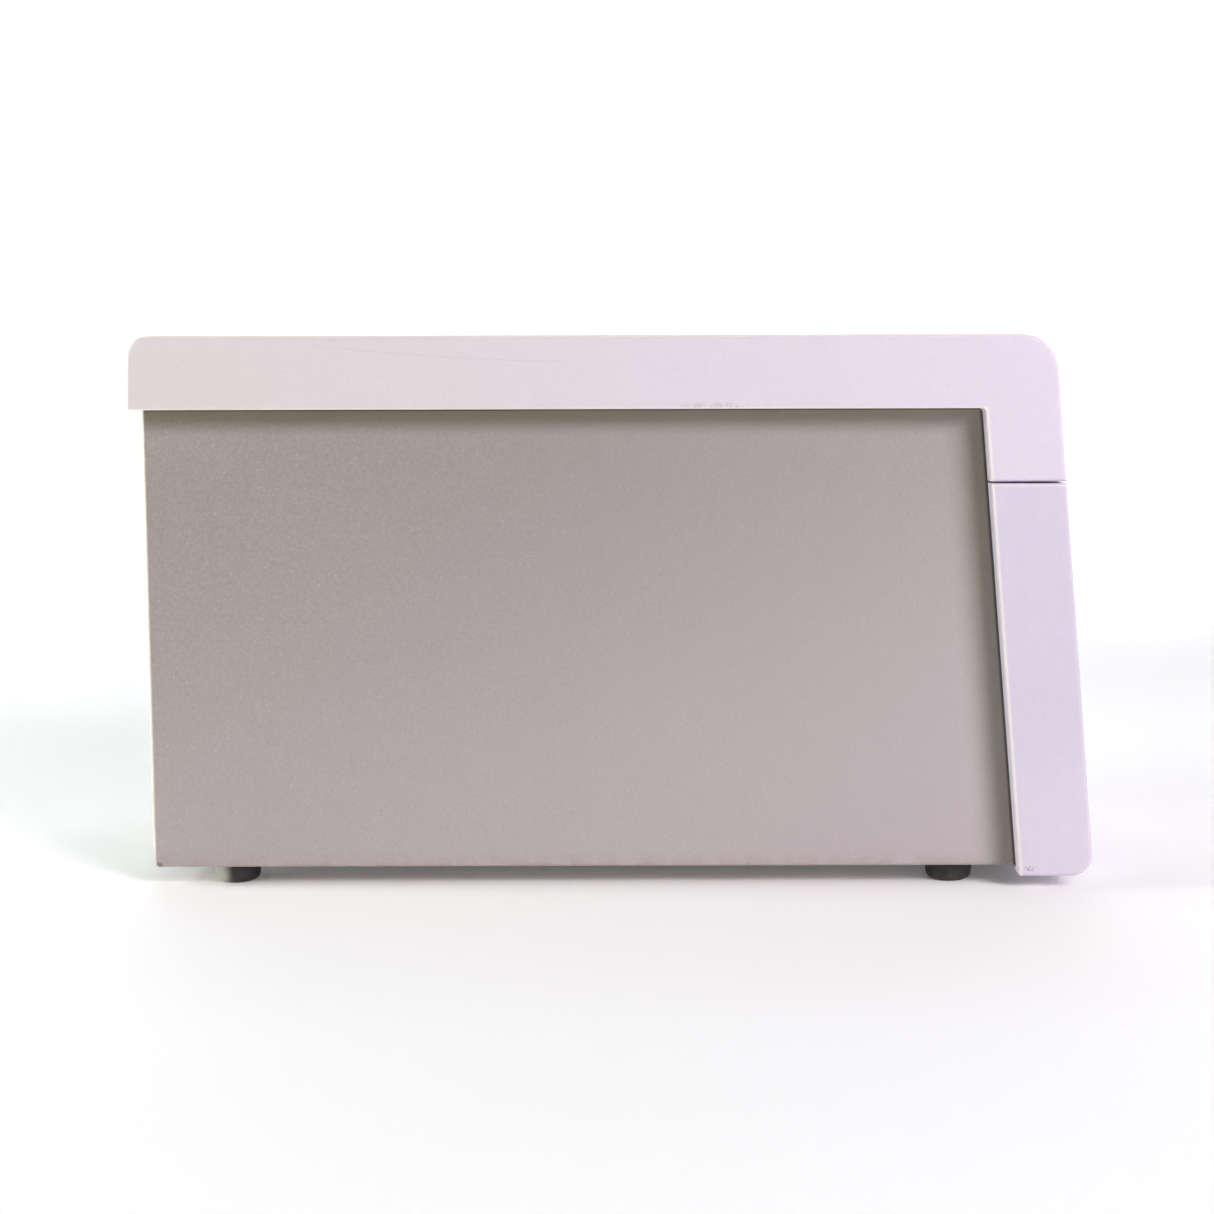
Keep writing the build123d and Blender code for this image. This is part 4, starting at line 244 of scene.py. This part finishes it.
def powder_coated_steel():
    """Taupe powder coat with orange-peel relief and tiny nibs, warmer towards the rear, with painted
    shade darkening the top rear and painted light paling the bottom front.
    """
    f = Finish("powder_coat", tint(178, 168, 167), 0.46, Coat_Weight=0.25, Coat_Roughness=0.3)
    x, y, z = f.axes()
    drift = f.noise(0.16, 2)
    # Warmer tone towards the top rear, also painted shade, since the warm side is darker
    warm_tone_and_shade = (x * -1.5 + 0.34 + (z - 0.12) * 1.5 + drift * 0.3).step(0.0, 1.0)
    colour = f.mix(warm_tone_and_shade, tint(186, 175, 180), tint(174, 164, 160))
    # Painted light and shade: the coat is painted darker towards the top rear and paler towards the
    # bottom front
    painted_light_and_shade = (0.5 + (0.115 - z) * 4.2 + x * 0.9 + drift * 0.2).step(0.0, 1.2)
    painted_shade_tone = f.mix(0.34, colour, tint(112, 104, 94))
    painted_light_tone = f.mix(0.22, colour, tint(214, 206, 207))
    colour = f.mix(painted_light_and_shade, painted_shade_tone, painted_light_tone)

    # Orange peel, nibs and pits, stronger low at the rear, where the stronger pale grain and nibs are
    # partly painted highlight of grazing light on the relief
    low_rear = (x * -2.2 + 0.1 + (0.12 - z) * 1.2 + drift * 0.3).step(0.0, 0.7)
    grain = f.noise(0.0017, 3, 0.6)
    fine = f.noise(0.0009, 2, 0.6)
    colour = f.mix(grain.step(0.3, 0.7) * (0.12 + low_rear * 0.10), colour, tint(203, 194, 188))
    colour = f.mix(fine.step(0.5, 0.75) * (0.12 + low_rear * 0.08), colour, tint(142, 131, 126))
    nib = f.cells(0.0032).step(0.24, 0.08) * f.noise(0.012, 2).step(0.42, 0.62)
    colour = f.mix(nib * (0.14 + low_rear * 0.22), colour, tint(222, 214, 204))
    pit = f.cells(0.0075, randomness=0.9).step(0.07, 0.03) * f.noise(0.021, 1).step(0.5, 0.6)
    colour = f.mix(pit * 0.35, colour, tint(128, 116, 116))

    # Dirt along the lower edge and in the relief of the lower rear corner
    dirt = (z - STEEL_FOOT).step(0.008, 0.0005) * f.noise(0.012, 3, 0.6).step(0.35, 0.6)
    colour = f.mix(dirt * 0.35, colour, tint(166, 146, 128))
    across, up = x - CORNER_STAIN[0], z - CORNER_STAIN[1]
    stain = (across * across + up * up).step(0.0000030, 0.0000006)
    colour = f.mix(stain * 0.65, colour, tint(104, 70, 66))

    # Painted shadow under the skirt and beside the band, painted shade in the crevices along their
    # edges, and a painted highlight on the rear bend
    side = abs(y).step(WEB_FACE - 0.005, WEB_FACE - 0.0015)
    below = z - SKIRT
    front_of_band = past_band(x, z)
    not_above, not_in_front = below.step(0.003, 0.0), front_of_band.step(0.004, 0.001)
    under_hood = below.step(-0.0135, -0.001) * not_above * not_in_front
    by_band = front_of_band.step(-0.021, -0.003) * not_in_front * not_above
    # Painted shadow, olive, stronger towards the rear
    shade = under_hood.most(by_band) * side * (0.80 + x * -0.6)
    colour = f.mix(shade, colour, tint(122, 119, 92))
    # Painted shade: a thin dark line where the skirt and the band meet the steel
    top_crevice_shade = z.near(SKIRT, 0.0011, 0.0005) * not_in_front
    crevice_shade = top_crevice_shade.most(abs(front_of_band).step(0.0016, 0.0006) * not_above)
    colour = f.mix(crevice_shade * side * 0.8, colour, tint(58, 54, 42))
    # Painted highlight: the rear bend drawn pale as if catching light
    bend = (x - STEEL_REAR).step(0.0022, 0.0008) * (0.55 + grain * 0.5)
    colour = f.mix(bend * side * 0.75, colour, tint(232, 226, 208))

    f.set("Base Color", colour)
    f.set("Roughness", 0.42 + grain * 0.14 + drift * 0.06 - bend * 0.1)
    peel = f.cells(0.0021, "SMOOTH_F1") * 0.6 + grain * 0.8
    relief = f.bump(peel * (0.8 + low_rear * 0.9), 0.00022, 0.8)
    f.set("Normal", f.bump(nib, 0.0002, 0.8, relief))
    return f.material


def foot_rubber():
    """Dark moulded rubber, dusty near the floor, with painted light on the back of the rear feet."""
    f = Finish("foot_rubber", tint(50, 50, 46), 0.55)
    x, y, z = f.axes()
    mottle = f.noise(0.003, 3, 0.6)
    colour = f.mix(mottle.step(0.3, 0.7), tint(34, 35, 33), tint(46, 46, 43))
    dust = z.step(0.006, 0.0) * f.noise(0.005, 3, 0.6).step(0.4, 0.65)
    colour = f.mix(dust * 0.35, colour, tint(120, 116, 108))
    # Painted light: the rearward side of each rear foot drawn pale, as if lit from the rear
    rear_side = (x - REAR_FOOT).step(-0.0001, -0.0061)
    painted_light_patch = rear_side * abs(y).step(FOOT_LINE - 0.020, FOOT_LINE - 0.012) * z.step(0.02, 0.018)
    colour = f.mix(painted_light_patch * 0.85, colour, tint(206, 206, 190))
    f.set("Base Color", colour)
    f.set("Roughness", 0.5 + mottle * 0.2 + dust * 0.15)
    f.set("Normal", f.bump(f.noise(0.0006, 2), 0.00006, 0.5))
    return f.material


# ---- Finishes of the front's and rear's small parts ------------------------
def plain_plastic(name, colour, second, roughness=0.42, coat=0.1, grain=0.0006, depth=0.00004):
    """Moulded plastic with spark texture and slow colour drift."""
    f = Finish(name, tint(*colour), roughness, Coat_Weight=coat, Coat_Roughness=0.3)
    drift = f.noise(0.02, 3, 0.55)
    f.set("Base Color", f.mix(drift.step(0.3, 0.7), tint(*colour), tint(*second)))
    spark = f.noise(grain, 2, 0.6)
    f.set("Roughness", roughness - 0.05 + drift * 0.1 + spark * 0.04)
    f.set("Normal", f.bump(spark, depth, 0.5))
    return f.material


def zinc_steel(name, colour, second, spangle=0.006, roughness=0.34):
    """Zinc-plated sheet with a faint spangle and rolling lines."""
    f = Finish(name, tint(*colour), roughness, metallic=0.9)
    flakes = f.cells(spangle, output="Color")
    shade = f.node("ShaderNodeSeparateColor", None, {0: flakes})
    lines = f.noise(0.0009, 2, 0.5, stretch=(0.04, 1, 1))
    stain = f.noise(0.035, 3, 0.6)
    colour_now = f.mix(shade * 0.45 + lines * 0.25, tint(*colour), tint(*second))
    colour_now = f.mix(stain.step(0.55, 0.8) * 0.25, colour_now, tint(150, 146, 138))
    f.set("Base Color", colour_now)
    f.set("Roughness", roughness - 0.08 + shade * 0.12 + lines * 0.12 + stain * 0.08)
    f.set("Normal", f.bump(lines, 0.00003, 0.4))
    return f.material


def bright_metal(name, colour, roughness=0.22, grain=0.0005):
    """Plated or cast metal with fine turning marks and a little tarnish."""
    f = Finish(name, tint(*colour), roughness, metallic=1.0)
    marks = f.noise(grain, 3, 0.6)
    tarnish = f.noise(0.008, 3, 0.6)
    dull = tuple(round(c * 0.72) for c in colour)
    f.set("Base Color", f.mix(tarnish.step(0.4, 0.8) * 0.6, tint(*colour), tint(*dull)))
    f.set("Roughness", roughness + marks * 0.14 + tarnish * 0.08)
    f.set("Normal", f.bump(marks, 0.00003, 0.45))
    return f.material


def circuit_board():
    """Green laminate with tracks, pads and a gloss coat."""
    f = Finish("board_laminate", tint(24, 84, 48), 0.3, Coat_Weight=0.6, Coat_Roughness=0.12)
    x, y, z = f.axes()
    lane = f.noise(0.02, 1)
    pitch_x, pitch_y = TRACK_PITCHES
    across = (x * 0.9 + y * 0.25 + lane * 0.012).wrap(pitch_x)
    along = (y + lane * 0.01).wrap(pitch_y)
    tracks = across.near(pitch_x / 2, 0.0004, 0.0003).most(along.near(pitch_y / 2, 0.0004, 0.0003))
    field = f.noise(0.016, 2).step(0.42, 0.56)
    pads = f.cells(0.0052, randomness=0.35).step(0.16, 0.12) * f.noise(0.013, 1).step(0.48, 0.55)
    colour = f.mix(f.noise(0.03, 2).step(0.3, 0.7), tint(22, 78, 44), tint(30, 94, 54))
    colour = f.mix(tracks * field * 0.6, colour, tint(58, 128, 74))
    colour = f.mix(pads, colour, tint(206, 196, 168))
    f.set("Base Color", colour)
    f.set("Metallic", pads * 0.8)
    f.set("Roughness", 0.34 - pads * 0.1)
    f.set("Normal", f.bump(tracks * field + pads, 0.00006, 0.5))
    return f.material


def chip_plastic():
    """Black moulded packages with a fine matt grain."""
    f = Finish("component_plastic", tint(34, 34, 37), 0.5)
    mottle = f.noise(0.002, 3)
    colour = f.mix(mottle, tint(28, 28, 31), tint(44, 44, 47))
    f.set("Base Color", colour)
    f.set("Roughness", 0.42 + mottle * 0.15)
    f.set("Normal", f.bump(f.noise(0.0005, 2), 0.00005, 0.5))
    return f.material


def light_pipe():
    """Frosted tinted light guides, unlit."""
    f = Finish("light_plastic", tint(150, 176, 120), 0.25, Transmission_Weight=0.35, Coat_Weight=0.5)
    cloud = f.noise(0.0012, 2)
    f.set("Base Color", f.mix(cloud, tint(140, 168, 112), tint(186, 204, 156)))
    f.set("Roughness", 0.2 + cloud * 0.15)
    f.set("Normal", f.bump(cloud, 0.00004, 0.4))
    return f.material


def ribbon_plastic():
    """Grey flat cable with a rib for each conductor and one marked edge."""
    f = Finish("ribbon_plastic", tint(168, 168, 172), 0.4, Coat_Weight=0.2)
    x, y, z = f.axes()
    half = RIBBON_PITCH / 2
    rib = abs((y.wrap(RIBBON_PITCH) - half) / half)
    edge = abs(y).near(RIBBON_EDGE, 0.0012, 0.0006)
    colour = f.mix(rib.step(0.6, 1.0) * 0.5, tint(176, 176, 180), tint(120, 120, 126))
    f.set("Base Color", f.mix(edge * 0.8, colour, tint(150, 60, 56)))
    f.set("Roughness", 0.36 + rib * 0.1)
    f.set("Normal", f.bump(1 - rib, 0.0002, 0.7))
    return f.material


def cable_sleeve():
    """Black braided sleeve."""
    f = Finish("cable_sleeve", tint(26, 26, 27), 0.6)
    x, y, z = f.axes()
    half = WEAVE_PITCH / 2
    one, two = (x + y + z).wrap(WEAVE_PITCH), (x - y + z).wrap(WEAVE_PITCH)
    weave = abs(one - half).step(0.0, 0.0006) * abs(two - half).step(0.0, 0.0006)
    f.set("Base Color", f.mix(weave, tint(18, 18, 19), tint(52, 52, 54)))
    f.set("Roughness", 0.5 + weave * 0.2)
    f.set("Normal", f.bump(weave, 0.0003, 0.7))
    return f.material


FINISHES = {
    "shell_plastic": moulded_shell(),
    "powder_coat": powder_coated_steel(),
    "drive_plastic": plain_plastic("drive_plastic", (216, 206, 214), (208, 199, 205)),
    "button_plastic": plain_plastic(
        "button_plastic", (150, 144, 156), (140, 134, 146), 0.25, coat=0.5, grain=0.001, depth=0.00001
    ),
    "light_plastic": light_pipe(),
    "case_steel": zinc_steel("case_steel", (186, 186, 182), (148, 150, 150)),
    "supply_steel": zinc_steel("supply_steel", (168, 168, 166), (140, 141, 142), 0.009, 0.3),
    "screw_steel": bright_metal("screw_steel", (206, 204, 198)),
    "foot_rubber": foot_rubber(),
    "stud_plastic": plain_plastic("stud_plastic", (226, 222, 210), (214, 209, 196)),
    "black_plastic": plain_plastic("black_plastic", (30, 30, 31), (38, 38, 40), 0.45),
    "tray_plastic": plain_plastic("tray_plastic", (52, 52, 55), (44, 44, 47), 0.4),
    "board_laminate": circuit_board(),
    "component_plastic": chip_plastic(),
    "port_metal": zinc_steel("port_metal", (190, 189, 184), (160, 160, 158), 0.004, 0.28),
    "disk_casting": bright_metal("disk_casting", (176, 177, 180), 0.34, 0.0011),
    "heatsink_aluminium": bright_metal("heatsink_aluminium", (200, 202, 206), 0.26, 0.0008),
    "processor_lid": bright_metal("processor_lid", (196, 197, 200), 0.24, 0.0006),
    "cable_sleeve": cable_sleeve(),
    "ribbon_plastic": ribbon_plastic(),
}
for part in frame["record"]["subparts"]:
    mesh = frame["nodes"][part["node"]].data
    mesh.materials.clear()
    mesh.materials.append(FINISHES[part["material_slot"]])


# ---- Floor, lights and camera ---------------------------------------------
def staged(name, bm, material):
    """A smooth sheet of the studio, which isn't part of the object."""
    mesh = bpy.data.meshes.new(name)
    bm.to_mesh(mesh)
    bm.free()
    for face in mesh.polygons:
        face.use_smooth = True
    mesh.materials.append(material)
    sheet = bpy.data.objects.new(name, mesh)
    SCENE.collection.objects.link(sheet)
    return sheet


def floor():
    """Pale floor that curves up behind the object and brightens far away."""
    half_width, bend_start, bend_radius, wall_rise = 12, 1.2, 1.6, 4.0
    bm = bmesh.new()
    bm.verts.new((-half_width, -half_width, 0))
    side = bmesh.ops.extrude_vert_indiv(bm, verts=bm.verts[:])
    bmesh.ops.translate(bm, verts=side["verts"], vec=(0, half_width + bend_start, 0))
    bend = bmesh.ops.spin(
        bm,
        geom=side["verts"],
        cent=(-half_width, bend_start, bend_radius),
        axis=(1, 0, 0),
        dvec=(0, 0, 0),
        angle=math.radians(90),
        steps=24,
        use_merge=False,
        use_duplicate=False,
    )
    last = [v for v in bend["geom_last"] if isinstance(v, bmesh.types.BMVert)]
    top = bmesh.ops.extrude_vert_indiv(bm, verts=last)
    bmesh.ops.translate(bm, verts=top["verts"], vec=(0, 0, wall_rise))
    wide = bmesh.ops.extrude_edge_only(bm, edges=bm.edges[:])
    swept = [g for g in wide["geom"] if isinstance(g, bmesh.types.BMVert)]
    bmesh.ops.translate(bm, verts=swept, vec=(2 * half_width, 0, 0))
    bmesh.ops.recalc_face_normals(bm, faces=bm.faces[:])
    near_glow, far_glow = (0.08, 0.08, 0.08, 1), (0.85, 0.85, 0.85, 1)
    f = Finish("studio_paper", (0.93, 0.93, 0.93, 1), 0.8, Emission_Strength=1.0)
    x, y, z = f.axes()
    far = (x * x + y * y).step(5.0, 20.0) * z.step(0.05, 0.01)
    f.set("Emission Color", f.mix(far, near_glow, far_glow))
    f.set("Roughness", 0.75 + f.noise(0.02, 2) * 0.1)
    staged("studio_floor", bm, f.material)


def far_wall():
    """A white wall all round, seen but lighting nothing."""
    bm = bmesh.new()
    ring = bmesh.ops.create_circle(bm, cap_ends=False, radius=11.5, segments=96)
    bmesh.ops.translate(bm, verts=ring["verts"], vec=(0, 0, -0.5))
    rise = bmesh.ops.extrude_edge_only(bm, edges=bm.edges[:])
    lifted = [g for g in rise["geom"] if isinstance(g, bmesh.types.BMVert)]
    bmesh.ops.translate(bm, verts=lifted, vec=(0, 0, 12.0))
    f = Finish("studio_wall", (0, 0, 0, 1), 1.0, Emission_Strength=1.0)
    f.set("Emission Color", f.mix(f.noise(2.0, 1), (0.99, 0.99, 0.99, 1), (1.0, 1.0, 1.0, 1)))
    wall = staged("studio_wall", bm, f.material)
    wall.visible_diffuse = False
    wall.visible_glossy = False
    wall.visible_transmission = False
    wall.visible_shadow = False


def area_light(name, place, target, power, size, colour=(1, 1, 1), spread=180):
    lamp = bpy.data.lights.new(name, "AREA")
    lamp.spread = math.radians(spread)
    lamp.shape = "RECTANGLE"
    lamp.size, lamp.size_y = size
    lamp.energy = power
    lamp.color = colour
    holder = bpy.data.objects.new(name, lamp)
    holder.location = place
    aim = Vector(target) - Vector(place)
    holder.rotation_euler = aim.to_track_quat("-Z", "Y").to_euler()
    SCENE.collection.objects.link(holder)


def studio():
    """A soft key from the upper front right, and softer lights above, behind and to the left."""
    world = bpy.data.worlds.new("studio_world")
    world.use_nodes = True
    glow = world.node_tree.nodes["Background"]
    glow.inputs["Color"].default_value = (1.0, 0.985, 0.93, 1)
    glow.inputs["Strength"].default_value = 0.02
    SCENE.world = world
    area_light("key_light", (1.6, -1.75, 1.6), (0, -0.1, 0.12), 56, (1.1, 1.1), (1.02, 0.955, 0.985))
    area_light("top_light", (0, 0.7, 2.4), (0, 0, 0), 12, (2.2, 1.6), (0.9, 0.98, 1.1))
    area_light("left_light", (-1.5, -0.15, 0.45), (-0.2, -0.1, 0.13), 22, (0.4, 0.9), (0.98, 1.03, 0.97))
    area_light("backdrop_light", (0, 1.0, 2.6), (0, 3.2, 0.9), 60, (3.0, 0.6), spread=120)


def camera():
    """A long lens square to the left side, a little above it and looking slightly down."""
    place, look_down, roll = (-0.0036, -1.032, 0.2402), 6.5, -0.15
    lens = bpy.data.cameras.new("side_camera")
    lens.sensor_width = 36.0
    lens.lens = 59.6
    lens.clip_start = 0.01
    holder = bpy.data.objects.new("side_camera", lens)
    turn = Matrix.Rotation(math.radians(90 - look_down), 4, "X")
    turn = turn @ Matrix.Rotation(math.radians(roll), 4, "Z")
    holder.matrix_world = Matrix.Translation(place) @ turn
    SCENE.collection.objects.link(holder)
    SCENE.camera = holder


floor()
far_wall()
studio()
camera()
SCENE.view_settings.view_transform = "Standard"
